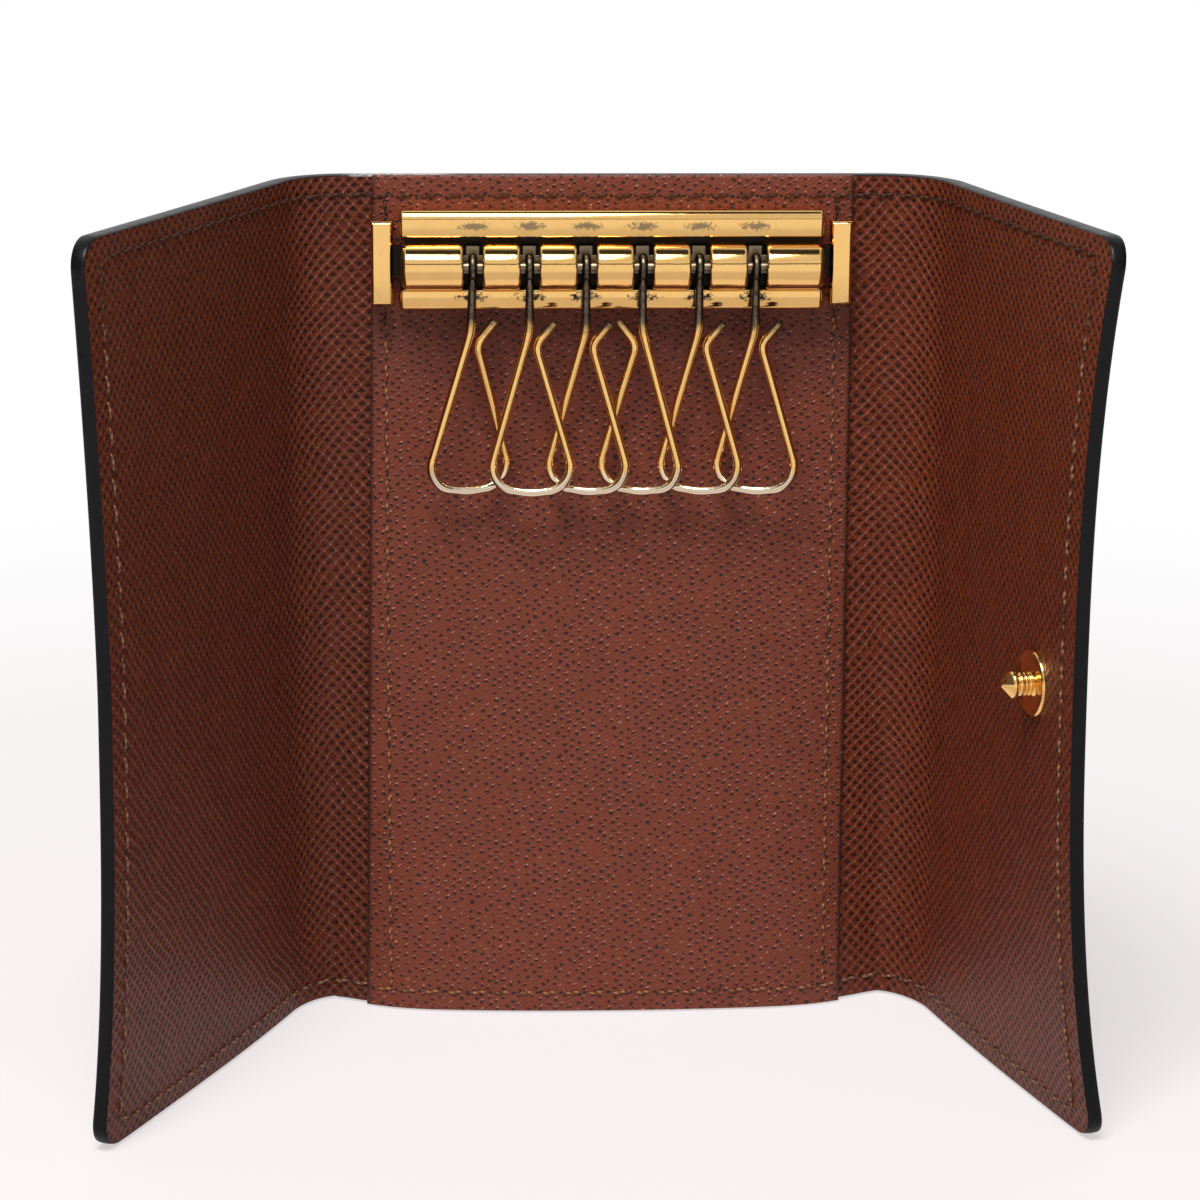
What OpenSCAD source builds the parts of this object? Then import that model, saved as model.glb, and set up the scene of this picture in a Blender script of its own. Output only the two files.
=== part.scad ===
// Six-hook key case: a tri-fold leather case that stands open on its edges, with a brass hook bar
// on its centre panel and a press stud on its right wing. Millimetres.
// X runs to the right, Y to the back and Z up. The origin lies on the ground under the centre panel,
// in the middle of its sheet's width and thickness.

/* [View] */
// Sub-part to show

/* [Case] */
// Height of the case
case_height = 100; // [85:1:130]
// Width of sewn-on panel that shows beyond each clip
panel_margin = 0.35; // [0.3:0.05:6]
// Thickness of the outer leather
outer_t = 0.9; // [0.7:0.1:1.5]
// Thickness of the stiffening board
board_t = 0.5; // [0.4:0.1:1]
// Thickness of the lining leather
lining_t = 0.6; // [0.4:0.1:1.2]
// Thickness of the sewn-on panel
patch_t = 0.9; // [0.6:0.1:1.5]
// Corner radius of the wings
wing_corner_r = 3.5; // [2:0.5:8]
// Thickness of the painted bead on the cut edges
edge_t = 0.4; // [0.2:0.1:1]

/* [Folds] */
// Bend radius of both folds at the middle of the sheet
fold_radius = 5.95; // [4:0.05:10]
// Angle that the left wing stands at
left_angle = 67.4; // [30:0.1:90]
// Angle that the right wing stands at
right_angle = 75.5; // [30:0.1:90]
// Flat leather between the sewn-on panel and the left bend
left_run = 4.2; // [2:0.1:8]
// Flat leather between the sewn-on panel and the right bend
right_run = 5; // [2:0.1:8]
// Soft leather between the left bend and the stiff wing
left_slack = 5.2; // [3:0.1:9]
// Soft leather between the right bend and the stiff wing
right_slack = 8; // [3:0.1:12]
// Left wing from its bend to its free edge
left_wing = 49.6; // [44:0.1:60]
// Right wing from its bend to its free edge
right_wing = 46.9; // [42:0.1:56]
// Room between the hook bar and the left wing when that is closed
bar_gap = 0.7; // [0.4:0.1:3]
// Extra depth of the right fold, which closes over the left wing
right_lift = 3.1; // [2.9:0.1:6]
// Lean of the closed right wing on what is under it
right_lean = 3.5; // [2.5:0.1:8]

/* [Hook bar] */
// Distance between neighbouring hooks
hook_pitch = 6.5; // [6.3:0.1:8]
// Shift of the hooks towards the right
hook_shift = 0.25; // [0:0.05:0.6]
// Bar beyond the end hooks, before that shift
bar_end = 7.95; // [6:0.05:14]
// Distance from the top of the case down to the hook rod
rod_drop = 9.9; // [9.5:0.1:20]
// Distance from the sewn-on panel out to the hook rod
rod_standoff = 4; // [3.8:0.1:6]
// Radius of the hook rod
rod_r = 0.5; // [0.3:0.05:0.6]
// Outer radius of the slotted barrel
barrel_r = 2.65; // [2.6:0.05:3.2]
// Wall of the slotted barrel
barrel_t = 0.45; // [0.3:0.05:0.6]
// Thickness of the plate behind the barrel
plate_t = 0.8; // [0.5:0.1:1.2]
// Height of the upper rail
top_rail_h = 2.6; // [2:0.1:4]
// Depth of the upper rail from the sewn-on panel
top_rail_depth = 3.6; // [2:0.1:4]
// Height of the lower rail
bottom_rail_h = 2.6; // [2:0.1:4]
// Depth of the lower rail from the sewn-on panel
bottom_rail_depth = 2.9; // [2:0.1:3]
// Gap between the barrel and the upper rail
top_rail_gap = 0.65; // [0.3:0.05:1.2]
// Gap between the barrel and the lower rail
bottom_rail_gap = 0.15; // [0.1:0.05:1]
// Corner radius of the rails and the barrel
rail_corner_r = 0.7; // [0.3:0.1:1.2]
// Bevel on the front edges of the rails
rail_bevel = 0.35; // [0.1:0.05:0.6]
// Thickness of the leaf spring behind the hooks
leaf_t = 0.3; // [0.2:0.05:0.4]

/* [End clips] */
// Width of each clip
clip_w = 2.5; // [2:0.1:3.5]
// Height of each clip
clip_h = 9.7; // [7:0.1:12]
// Depth of each clip from the sewn-on panel
clip_depth = 3.3; // [2.5:0.1:5]
// Sheet thickness of the clips
clip_t = 0.45; // [0.3:0.05:0.6]
// Gap between the bar's end and the clip
clip_gap = 0.95; // [0.6:0.05:1.5]
// Width of the prongs that hold a clip
prong_w = 1.2; // [0.8:0.1:2]
// Height of the tab at each end of the bar
tab_h = 3.4; // [2:0.1:5]
// Thickness of the tab at each end of the bar
tab_t = 1.5; // [0.8:0.1:2]
// Length of the tab that lies inside the clip
tab_reach = 1.1; // [0.6:0.1:1.4]

/* [Hooks] */
// Wire of the hooks' loops
wire_d = 0.92; // [0.8:0.02:0.96]
// Wire of the hooks' eyes
eye_wire_d = 1; // [0.98:0.02:1.1]
// Width that the loop is drawn in, over its corners
hook_width = 10.7; // [9.5:0.1:11]
// Drop from the rod to the lowest centre line of the loop
hook_drop = 25.9; // [22:0.1:30]
// Bend radius of the shank
shank_bend_r = 8; // [3:0.5:12]
// Bend radius at the foot of the shank's leg
foot_bend_r = 2.8; // [2:0.1:3]
// Bend radius of the loop's sagging bottom
sag_bend_r = 8; // [4:0.5:10]
// Bend radius at the foot of the free leg
belly_bend_r = 3; // [2:0.1:3.1]
// Bend radius at the neck of the free leg
neck_bend_r = 2; // [0.8:0.1:2.4]
// Width of the slots that the hooks swing in
slot_w = 2.2; // [1.6:0.1:2.6]

/* [Press stud] */
// Distance from the right wing's free edge to the stud
snap_inset = 11.5; // [8:0.1:14]
// Diameter of the stud's disc
disc_d = 7.5; // [6:0.1:9]
// Thickness of the stud's disc
disc_t = 0.5; // [0.3:0.05:0.8]
// Length of the post over the disc
post_l = 3.4; // [3:0.1:3.5]
// Diameter of the post's neck
neck_d = 2.3; // [1.8:0.1:2.5]
// Diameter of the post's head
head_d = 3.1; // [2.9:0.1:3.2]
// Diameter of the cap on the outside of the right wing
cap_d = 9.4; // [8:0.1:12]
// Height of the cap
cap_h = 1.5; // [1:0.1:2.5]
// Diameter of the socket on the outside of the left wing
socket_d = 9; // [8:0.1:10]
// Height of the socket over the leather
socket_h = 1.75; // [1.4:0.05:1.8]
// Wire of the ring spring in the socket
ring_wire_d = 0.5; // [0.4:0.05:0.6]

/* [Hidden] */
// Facets of a full circle
round_fn = 64;
// Running clearance round pins and rods
fit_gap = 0.05;
// Clearance round prongs, washers and rivets in the leather
leather_gap = 0.1;
// Overrun that cuts run past a face by
cut = 0.5;
// A straight piece enters the bend that it joins by this lap, and is this much slimmer on each side
lap = 0.05;
slim = 0.01;
sheet_t = outer_t + board_t + lining_t;
face = sheet_t / 2;
hooks = 6;
bar_length = hook_pitch * (hooks - 1) + bar_end * 2;
half_patch = bar_length / 2 + clip_gap + clip_w + panel_margin;
patch_width = half_patch * 2;
patch_front = face + patch_t;
rod_y = -(patch_front + rod_standoff);
rod_z = case_height - rod_drop;
left_depth = patch_front + rod_standoff + barrel_r + bar_gap + face;
right_depth = left_depth + right_lift;
bar_top = rod_z + barrel_r + top_rail_gap + top_rail_h;
bar_bottom = rod_z - barrel_r - bottom_rail_gap - bottom_rail_h;
bar_mid = (bar_top + bar_bottom) / 2;
eye_r = rod_r + fit_gap + eye_wire_d / 2;
eye_out = eye_r + eye_wire_d / 2;
plate_front = -(patch_front + plate_t);
clip_x = bar_length / 2 + clip_gap + clip_w / 2;
prong_z = clip_h / 2 - prong_w;
prong_x = clip_w / 2 - clip_t / 2;
backing_margin = prong_w / 2;
snap_z = case_height / 2;
bore_r = head_d / 2 + leather_gap * 4;
groove_r = bore_r + ring_wire_d / 4;
ring_r = groove_r - ring_wire_d / 2 - fit_gap;
socket_shank_r = bore_r + disc_t * 2;
backing_r = socket_d / 2 - leather_gap * 2;
rivet_r = neck_d / 3;
// Stud and socket meet when both wings are closed: the stud's axis is followed to the left wing
stud_run = right_wing - snap_inset - right_slack;
stud_x = half_patch - stud_run * cos(right_lean);
stud_y = -(right_depth + stud_run * sin(right_lean));
socket_x = stud_x - (stud_y + left_depth + face) * -tan(right_lean);
socket_u = left_slack + socket_x + half_patch;
// Loop of a hook: corners of its centre line, across as shares of the width, down as shares of the drop
loop_shares = [
    [0, -0.04], [0, -0.285], [-0.47, -0.99], [0.02, -1.018], [0.522, -0.99], [0.066, -0.35], [0.262, -0.25]
];
loop_bends = [shank_bend_r, foot_bend_r, sag_bend_r, belly_bend_r, neck_bend_r];
// Turn about the shank, forward lean about the rod, tilt to the left and hand of each hook: the loops
// lie over one another
hook_turns = [15, -4, -13, -13, -13, -13];
hook_leans = [-1.5, 1.5, 0, 0, 0, 0];
hook_tilts = [1.8, 0, 0, 0, 0, 0];
hook_hands = [1, 1, 1, -1, 1, 1];

// Colours
leather = [0.36, 0.17, 0.12];
patch_leather = [0.45, 0.22, 0.16];
outer_leather = [0.3, 0.15, 0.1];
board_grey = [0.55, 0.52, 0.48];
edge_black = [0.06, 0.06, 0.06];
brass = [0.85, 0.65, 0.3];
worn_brass = [0.6, 0.48, 0.3];

// One flat layer of the centre panel, from a given depth behind the middle of the sheet
module centre_layer(back, thick) {
    translate([-half_patch, back - thick, edge_t])
        cube([patch_width, thick, case_height - edge_t * 2]);
}

// Moves a wing's own frame, U along the wing and V to its outside, to the end of its bend
module at_bend(run, angle) {
    translate([half_patch + run + fold_radius * sin(angle), -fold_radius * (1 - cos(angle)), 0])
        rotate([0, 0, -angle])
            children();
}

module at_right_wing() {
    at_bend(right_run, right_angle)
        children();
}

module at_left_wing() {
    mirror([1, 0, 0])
        at_bend(left_run, left_angle)
            children();
}

// One layer of a fold: flat run, bend and flat slack
module fold_layer(run, angle, slack, back, thick) {
    translate([half_patch, back - thick + slim, 0])
        cube([run + lap, thick - slim * 2, case_height]);
    translate([half_patch + run, -fold_radius, 0])
        rotate([0, 0, 90 - angle])
            rotate_extrude(angle = angle, $fn = round_fn)
                translate([fold_radius + back - thick, 0])
                    square([thick, case_height]);
    at_bend(run, angle)
        translate([-lap, back - thick + slim, 0])
            cube([slack + lap, thick - slim * 2, case_height]);
}

// Outline of a wing with rounded free corners, pulled in on its three cut edges
module wing_outline(start, length, inset) {
    corner = wing_corner_r - inset;
    far = length - inset;
    low = inset;
    high = case_height - inset;
    translate([start, low])
        square([far - corner - start, high - low]);
    translate([start, low + corner])
        square([far - start, high - low - corner * 2]);
    translate([far - corner, low + corner])
        circle(corner, $fn = round_fn);
    translate([far - corner, high - corner])
        circle(corner, $fn = round_fn);
}

module wing_layer(start, length, inset, back, thick) {
    translate([0, back, 0])
        rotate([90, 0, 0])
            linear_extrude(thick)
                wing_outline(start, length, inset);
}

// Painted bead round a wing's three cut edges, thinner at both faces
module wing_bead(start, length) {
    shoulder = edge_t / 2;
    difference() {
        union() {
            wing_layer(start, length, 0, face - shoulder, sheet_t - shoulder * 2);
            wing_layer(start, length, shoulder, face, sheet_t);
        }
        wing_layer(start - cut, length, edge_t, face + cut, sheet_t + cut * 2);
    }
}

// Prongs of one clip, with the room asked for round them
module prongs(room, deep) {
    for (side = [-1, 1], end = [-1, 1]) {
        translate([side * prong_x, 0, end * prong_z])
            translate([-clip_t / 2 - room, 0, -prong_w / 2 - room])
                cube([clip_t + room * 2, deep, prong_w + room * 2]);
    }
}

module both_prongs(room) {
    for (side = [-1, 1]) {
        translate([side * clip_x, -patch_front - cut, bar_mid])
            prongs(room, patch_front + face + cut * 2);
    }
}

// Plate that a clip's prongs are clenched over, ending just outside the outer prongs
module backing_plate(side, room) {
    low = clip_x - clip_w / 2 - backing_margin - room;
    high = clip_x + clip_w / 2 + fit_gap + room;
    tall = clip_h + backing_margin;
    translate([side > 0 ? low : -high, face - outer_t - board_t, bar_mid - tall / 2 - room])
        cube([high - low, board_t, tall + room * 2]);
}

module centre_outer() {
    color(outer_leather)
        centre_layer(face, outer_t);
}

module centre_board() {
    color(board_grey)
        difference() {
            centre_layer(face - outer_t, board_t);
            for (side = [-1, 1]) {
                backing_plate(side, leather_gap);
            }
        }
}

module centre_lining() {
    color(leather)
        difference() {
            centre_layer(lining_t - face, lining_t);
            both_prongs(leather_gap);
        }
}

module centre_patch() {
    color(patch_leather)
        difference() {
            translate([-half_patch, -patch_front, 0])
                cube([patch_width, patch_t, case_height]);
            both_prongs(leather_gap);
        }
}

module centre_edge() {
    color(edge_black)
        for (low = [0, case_height - edge_t]) {
            translate([-half_patch, -face, low])
                cube([patch_width, sheet_t, edge_t]);
        }
}

module left_fold_outer() {
    color(outer_leather)
        mirror([1, 0, 0])
            fold_layer(left_run, left_angle, left_slack, face, outer_t);
}

module left_fold_lining() {
    color(leather)
        mirror([1, 0, 0])
            fold_layer(left_run, left_angle, left_slack, face - outer_t, board_t + lining_t);
}

module right_fold_outer() {
    color(outer_leather)
        fold_layer(right_run, right_angle, right_slack, face, outer_t);
}

module right_fold_lining() {
    color(leather)
        fold_layer(right_run, right_angle, right_slack, face - outer_t, board_t + lining_t);
}

module left_wing_outer() {
    color(outer_leather)
        difference() {
            at_left_wing()
                wing_layer(left_slack, left_wing, edge_t, face, outer_t);
            at_socket()
                translate([0, 0, -outer_t - cut])
                    cylinder(outer_t + cut * 2, r = socket_shank_r + leather_gap, $fn = round_fn);
        }
}

module left_wing_board() {
    color(board_grey)
        difference() {
            at_left_wing()
                wing_layer(left_slack, left_wing, edge_t, face - outer_t, board_t);
            at_socket()
                translate([0, 0, -outer_t - board_t - cut])
                    cylinder(board_t + cut * 2, r = backing_r + leather_gap, $fn = round_fn);
        }
}

module left_wing_lining() {
    color(leather)
        at_left_wing()
            wing_layer(left_slack, left_wing, edge_t, lining_t - face, lining_t);
}

module left_wing_edge() {
    color(edge_black)
        at_left_wing()
            wing_bead(left_slack, left_wing);
}

// Hole of the rivet that joins the stud and the cap through the right wing
module rivet_hole() {
    at_stud()
        translate([0, 0, -sheet_t - cut])
            cylinder(sheet_t + cut * 2, r = rivet_r + leather_gap, $fn = round_fn);
}

module right_wing_outer() {
    color(outer_leather)
        difference() {
            at_right_wing()
                wing_layer(right_slack, right_wing, edge_t, face, outer_t);
            rivet_hole();
        }
}

module right_wing_board() {
    color(board_grey)
        difference() {
            at_right_wing()
                wing_layer(right_slack, right_wing, edge_t, face - outer_t, board_t);
            rivet_hole();
        }
}

module right_wing_lining() {
    color(leather)
        difference() {
            at_right_wing()
                wing_layer(right_slack, right_wing, edge_t, lining_t - face, lining_t);
            rivet_hole();
        }
}

module right_wing_edge() {
    color(edge_black)
        at_right_wing()
            wing_bead(right_slack, right_wing);
}

// Frame of the stud: its Z points out of the right wing's inner face
module at_stud() {
    at_right_wing()
        translate([right_wing - snap_inset, -face, snap_z])
            rotate([90, 0, 0])
                children();
}

// Frame of the socket: its Z points out of the left wing's outer face
module at_socket() {
    at_left_wing()
        translate([socket_u, face, snap_z])
            rotate([-90, 0, 0])
                children();
}

// Dished disc, ringed neck and pointed head, turned in one piece
module snap_stud() {
    disc_r = disc_d / 2;
    neck_r = neck_d / 2;
    head_r = head_d / 2;
    bead = neck_r / 6;
    neck_end = disc_t + post_l * 0.56;
    color(brass)
        at_stud()
            difference() {
                rotate_extrude($fn = round_fn)
                    polygon([
                        [0, 0],
                        [disc_r * 0.92, 0],
                        [disc_r, disc_t * 0.4],
                        [disc_r, disc_t * 0.8],
                        [disc_r * 0.95, disc_t],
                        [disc_r * 0.5, disc_t * 0.62],
                        [neck_r + bead * 2, disc_t * 0.62],
                        [neck_r + bead, disc_t + post_l * 0.08],
                        [neck_r, disc_t + post_l * 0.14],
                        [neck_r, disc_t + post_l * 0.22],
                        [neck_r + bead, disc_t + post_l * 0.27],
                        [neck_r, disc_t + post_l * 0.32],
                        [neck_r, neck_end - post_l * 0.08],
                        [head_r * 0.94, neck_end],
                        [head_r, neck_end + post_l * 0.06],
                        [head_r, neck_end + post_l * 0.12],
                        [head_r * 0.2, disc_t + post_l * 0.98],
                        [0, disc_t + post_l]
                    ]);
                translate([0, 0, -cut])
                    cylinder(disc_t + cut * 2, r = rivet_r + fit_gap, $fn = round_fn);
            }
}

// Domed cap outside, with the rivet pin that goes through the wing into the stud
module snap_cap() {
    cap_r = cap_d / 2;
    dome_r = (cap_r * cap_r + cap_h * cap_h) / (cap_h * 2);
    color(brass)
        at_stud()
            translate([0, 0, -sheet_t])
                union() {
                    rotate([180, 0, 0])
                        intersection() {
                            translate([0, 0, cap_h - dome_r])
                                sphere(dome_r, $fn = round_fn);
                            cylinder(cap_h, r = cap_r, $fn = round_fn);
                        }
                    cylinder(sheet_t + disc_t, r = rivet_r, $fn = round_fn);
                }
}

// Turned socket that the stud presses into, with a groove for its ring spring
module snap_socket() {
    socket_r = socket_d / 2;
    lip = socket_h / 5;
    ring_z = socket_h * 0.5;
    groove = ring_wire_d / 2 + fit_gap;
    color(brass)
        at_socket()
            rotate_extrude($fn = round_fn)
                polygon([
                    [bore_r, -outer_t],
                    [socket_shank_r, -outer_t],
                    [socket_shank_r, 0],
                    [socket_r, 0],
                    [socket_r, lip],
                    [socket_r - lip, lip * 2],
                    [socket_r - lip * 3, lip * 2],
                    [bore_r + lip * 3, socket_h - lip],
                    [bore_r + lip * 2, socket_h],
                    [bore_r + lip, socket_h],
                    [bore_r, socket_h - lip],
                    [bore_r, ring_z + groove],
                    [groove_r, ring_z + groove],
                    [groove_r, ring_z - groove],
                    [bore_r, ring_z - groove]
                ]);
}

// Split ring that grips the stud's neck
module snap_spring() {
    opening = 40;
    color(worn_brass)
        at_socket()
            translate([0, 0, socket_h * 0.5])
                rotate([0, 0, opening / 2])
                    rotate_extrude(angle = 360 - opening, $fn = round_fn)
                        translate([ring_r, 0])
                            circle(d = ring_wire_d, $fn = round_fn);
}

// Washer behind the socket, let into the board
module snap_backing() {
    color(worn_brass)
        at_socket()
            translate([0, 0, -outer_t - board_t])
                difference() {
                    cylinder(board_t, r = backing_r, $fn = round_fn);
                    translate([0, 0, -cut])
                        cylinder(board_t + cut * 2, r = bore_r, $fn = round_fn);
                }
}

// Rounded bar end outline in the panel's plane
module rounded_bar(length, low, high) {
    r = rail_corner_r;
    translate([-length / 2, low + r])
        square([length, high - low - r * 2]);
    translate([r - length / 2, low])
        square([length - r * 2, high - low]);
    for (side = [-1, 1], z = [low + r, high - r]) {
        translate([side * (length / 2 - r), z])
            circle(r, $fn = round_fn);
    }
}

// Rail with rounded ends and two bevelled front edges
module rail(low, high, depth) {
    rise = (high - low) / 2;
    bevelled = depth - rail_bevel;
    intersection() {
        translate([0, -patch_front, 0])
            rotate([90, 0, 0])
                linear_extrude(depth)
                    rounded_bar(bar_length, low, high);
        translate([-bar_length / 2, 0, 0])
            rotate([90, 0, 90])
                linear_extrude(bar_length)
                    polygon([
                        [-patch_front, low],
                        [-patch_front - bevelled, low],
                        [-patch_front - depth, low + rise / 2],
                        [-patch_front - depth, high - rise / 3],
                        [-patch_front - bevelled, high],
                        [-patch_front, high]
                    ]);
    }
}

// Back plate with its two rails and the tabs that the clips hold
module bar_plate() {
    tab_length = bar_length + clip_gap * 2 + tab_reach * 2;
    color(brass)
        union() {
            translate([0, -patch_front, 0])
                rotate([90, 0, 0])
                    linear_extrude(plate_t)
                        rounded_bar(bar_length, bar_bottom, bar_top);
            rail(bar_top - top_rail_h, bar_top, top_rail_depth);
            rail(bar_bottom, bar_bottom + bottom_rail_h, bottom_rail_depth);
            translate([-tab_length / 2, -patch_front - tab_t, bar_mid - tab_h / 2])
                cube([tab_length, tab_t, tab_h]);
        }
}

// Channel with a round front, closed ends and one slot for each hook
module bar_barrel() {
    tab_room = tab_t - plate_t + fit_gap;
    inner_r = barrel_r - barrel_t;
    back = plate_front - rod_y;
    color(brass)
        difference() {
            intersection() {
                translate([-bar_length / 2, rod_y, rod_z])
                    rotate([0, 90, 0])
                        union() {
                            cylinder(bar_length, r = barrel_r, $fn = round_fn);
                            translate([-barrel_r, 0, 0])
                                cube([barrel_r * 2, back, bar_length]);
                        }
                translate([0, plate_front, 0])
                    rotate([90, 0, 0])
                        linear_extrude(back + barrel_r)
                            rounded_bar(bar_length, rod_z - barrel_r, rod_z + barrel_r);
            }
            translate([barrel_t - bar_length / 2, rod_y, rod_z])
                rotate([0, 90, 0])
                    union() {
                        cylinder(bar_length - barrel_t * 2, r = inner_r, $fn = round_fn);
                        translate([-inner_r, 0, 0])
                            cube([inner_r * 2, back + cut, bar_length - barrel_t * 2]);
                    }
            translate([-bar_length / 2 - cut, rod_y, rod_z])
                rotate([0, 90, 0])
                    cylinder(bar_length + cut * 2, r = rod_r + fit_gap, $fn = round_fn);
            translate([-bar_length / 2 - cut, plate_front - tab_room, bar_mid - tab_h / 2 - fit_gap])
                cube([bar_length + cut * 2, tab_room + cut, tab_h + fit_gap * 2]);
            for (i = [0 : hooks - 1]) {
                translate([hook_x(i) - slot_w / 2, rod_y - barrel_r - cut, rod_z - barrel_r - cut])
                    cube([slot_w, barrel_r + cut + eye_out, barrel_r * 2 + cut * 2]);
            }
        }
}

module hook_rod() {
    color(worn_brass)
        translate([-bar_length / 2, rod_y, rod_z])
            rotate([0, 90, 0])
                cylinder(bar_length, r = rod_r, $fn = round_fn);
}

// Channel spring behind the eyes, with one tongue for each hook
module leaf_spring() {
    length = bar_length - barrel_t * 4;
    inner_r = barrel_r - barrel_t;
    front = rod_y + eye_out + fit_gap;
    feet = plate_front - tab_t + plate_t - fit_gap * 2;
    tongue_w = slot_w * 0.7;
    tongue_top = rod_z + inner_r - fit_gap;
    web_top = rod_z + eye_r;
    color(worn_brass)
        union() {
            translate([-length / 2, front, rod_z - eye_r])
                cube([length, leaf_t, web_top - rod_z + eye_r]);
            for (z = [rod_z - eye_r, web_top - leaf_t]) {
                translate([-length / 2, front, z])
                    cube([length, feet - front, leaf_t]);
            }
            for (i = [0 : hooks - 1]) {
                translate([hook_x(i) - tongue_w / 2, front, web_top - leaf_t])
                    cube([tongue_w, leaf_t, tongue_top - web_top + leaf_t]);
            }
        }
}

// Staple of bent sheet: a face, two flanges and four prongs, notched for the bar's tab
module clip(side) {
    room = clip_t / 4;
    difference() {
        union() {
            difference() {
                translate([-clip_w / 2, -clip_depth, -clip_h / 2])
                    cube([clip_w, clip_depth, clip_h]);
                translate([clip_t - clip_w / 2, clip_t - clip_depth, -clip_h / 2 - cut])
                    cube([clip_w - clip_t * 2, clip_depth + cut, clip_h + cut * 2]);
            }
            prongs(0, patch_t + lining_t + board_t);
        }
        translate([-side * clip_w / 2 - clip_t - room, -tab_t - room, -tab_h / 2 - room])
            cube([(clip_t + room) * 2, tab_t + room + cut, tab_h + room * 2]);
    }
}

module left_clip() {
    color(brass)
        translate([-clip_x, -patch_front, bar_mid])
            clip(-1);
}

module right_clip() {
    color(brass)
        translate([clip_x, -patch_front, bar_mid])
            clip(1);
}

module clip_backing(side) {
    difference() {
        backing_plate(side, 0);
        both_prongs(fit_gap);
    }
}

module left_clip_backing() {
    color(worn_brass)
        clip_backing(-1);
}

module right_clip_backing() {
    color(worn_brass)
        clip_backing(1);
}

function hook_x(i) = hook_shift + (i - (hooks - 1) / 2) * hook_pitch;

// Straight piece of wire between two points of the drawing plane
module wire_run(a, b) {
    way = b - a;
    translate([a[0], a[1], 0])
        rotate([0, 0, atan2(way[1], way[0])])
            rotate([0, 90, 0])
                cylinder(norm(way), d = wire_d - slim * 2, $fn = round_fn / 2);
}

// Bend of wire at a corner, turning from one direction to the next
module wire_bend(corner, from, to, r) {
    turn = atan2(from[0] * to[1] - from[1] * to[0], from * to);
    hand = sign(turn);
    start = corner - from * r * tan(abs(turn) / 2);
    centre = start + [-from[1], from[0]] * hand * r;
    first = atan2(start[1] - centre[1], start[0] - centre[0]);
    translate([centre[0], centre[1], 0])
        rotate([0, 0, hand > 0 ? first : first - abs(turn)])
            rotate_extrude(angle = abs(turn), $fn = round_fn)
                translate([r, 0])
                    circle(d = wire_d, $fn = round_fn / 2);
}

// Length that a bend takes off the straight piece on each side of its corner
function bend_take(from, to, r) = r * tan(abs(atan2(from[0] * to[1] - from[1] * to[0], from * to)) / 2);

// Wire through the loop's corners, drawn in X and Y
module wire_loop(points, bends) {
    last = len(points) - 1;
    ways = [for (i = [0 : last - 1]) (points[i + 1] - points[i]) / norm(points[i + 1] - points[i])];
    takes = [for (i = [1 : last - 1]) bend_take(ways[i - 1], ways[i], bends[i - 1])];
    for (i = [0 : last - 1]) {
        wire_run(
            points[i] + ways[i] * (i > 0 ? takes[i - 1] - lap : 0),
            points[i + 1] - ways[i] * (i < last - 1 ? takes[i] - lap : 0)
        );
    }
    for (i = [1 : last - 1]) {
        wire_bend(points[i], ways[i - 1], ways[i], bends[i - 1]);
    }
}

// One hook: an eye round the rod and the open loop of wire that hangs from it
module hook(i) {
    corners = [for (p = loop_shares) [p[0] * hook_width * hook_hands[i], p[1] * hook_drop]];
    color(brass)
        translate([hook_x(i), rod_y, rod_z])
            rotate([-hook_leans[i], 0, 0])
                union() {
                    rotate([0, 90, 0])
                        rotate_extrude($fn = round_fn)
                            translate([eye_r, 0])
                                circle(d = eye_wire_d, $fn = round_fn / 2);
                    rotate([0, hook_tilts[i], hook_turns[i]])
                        rotate([90, 0, 0])
                            wire_loop(corners, loop_bends);
                }
}

module hook_1() {
    hook(0);
}

module hook_2() {
    hook(1);
}

module hook_3() {
    hook(2);
}

module hook_4() {
    hook(3);
}

module hook_5() {
    hook(4);
}

module hook_6() {
    hook(5);
}

centre_outer();
centre_board();
centre_lining();
centre_patch();
centre_edge();
left_fold_outer();
left_fold_lining();
right_fold_outer();
right_fold_lining();
left_wing_outer();
left_wing_board();
left_wing_lining();
left_wing_edge();
right_wing_outer();
right_wing_board();
right_wing_lining();
right_wing_edge();
snap_stud();
snap_cap();
snap_socket();
snap_spring();
snap_backing();
bar_plate();
bar_barrel();
hook_rod();
leaf_spring();
left_clip();
right_clip();
left_clip_backing();
right_clip_backing();
hook_1();
hook_2();
hook_3();
hook_4();
hook_5();
hook_6();
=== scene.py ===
# Six-hook key case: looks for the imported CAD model. Lengths here are millimetres, and MM turns them into
# Blender's metres. In materials, the leather's UV is in millimetres and Object coordinates are in metres.
import math

import bmesh
import bpy
from mathutils import Matrix, Vector


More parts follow.
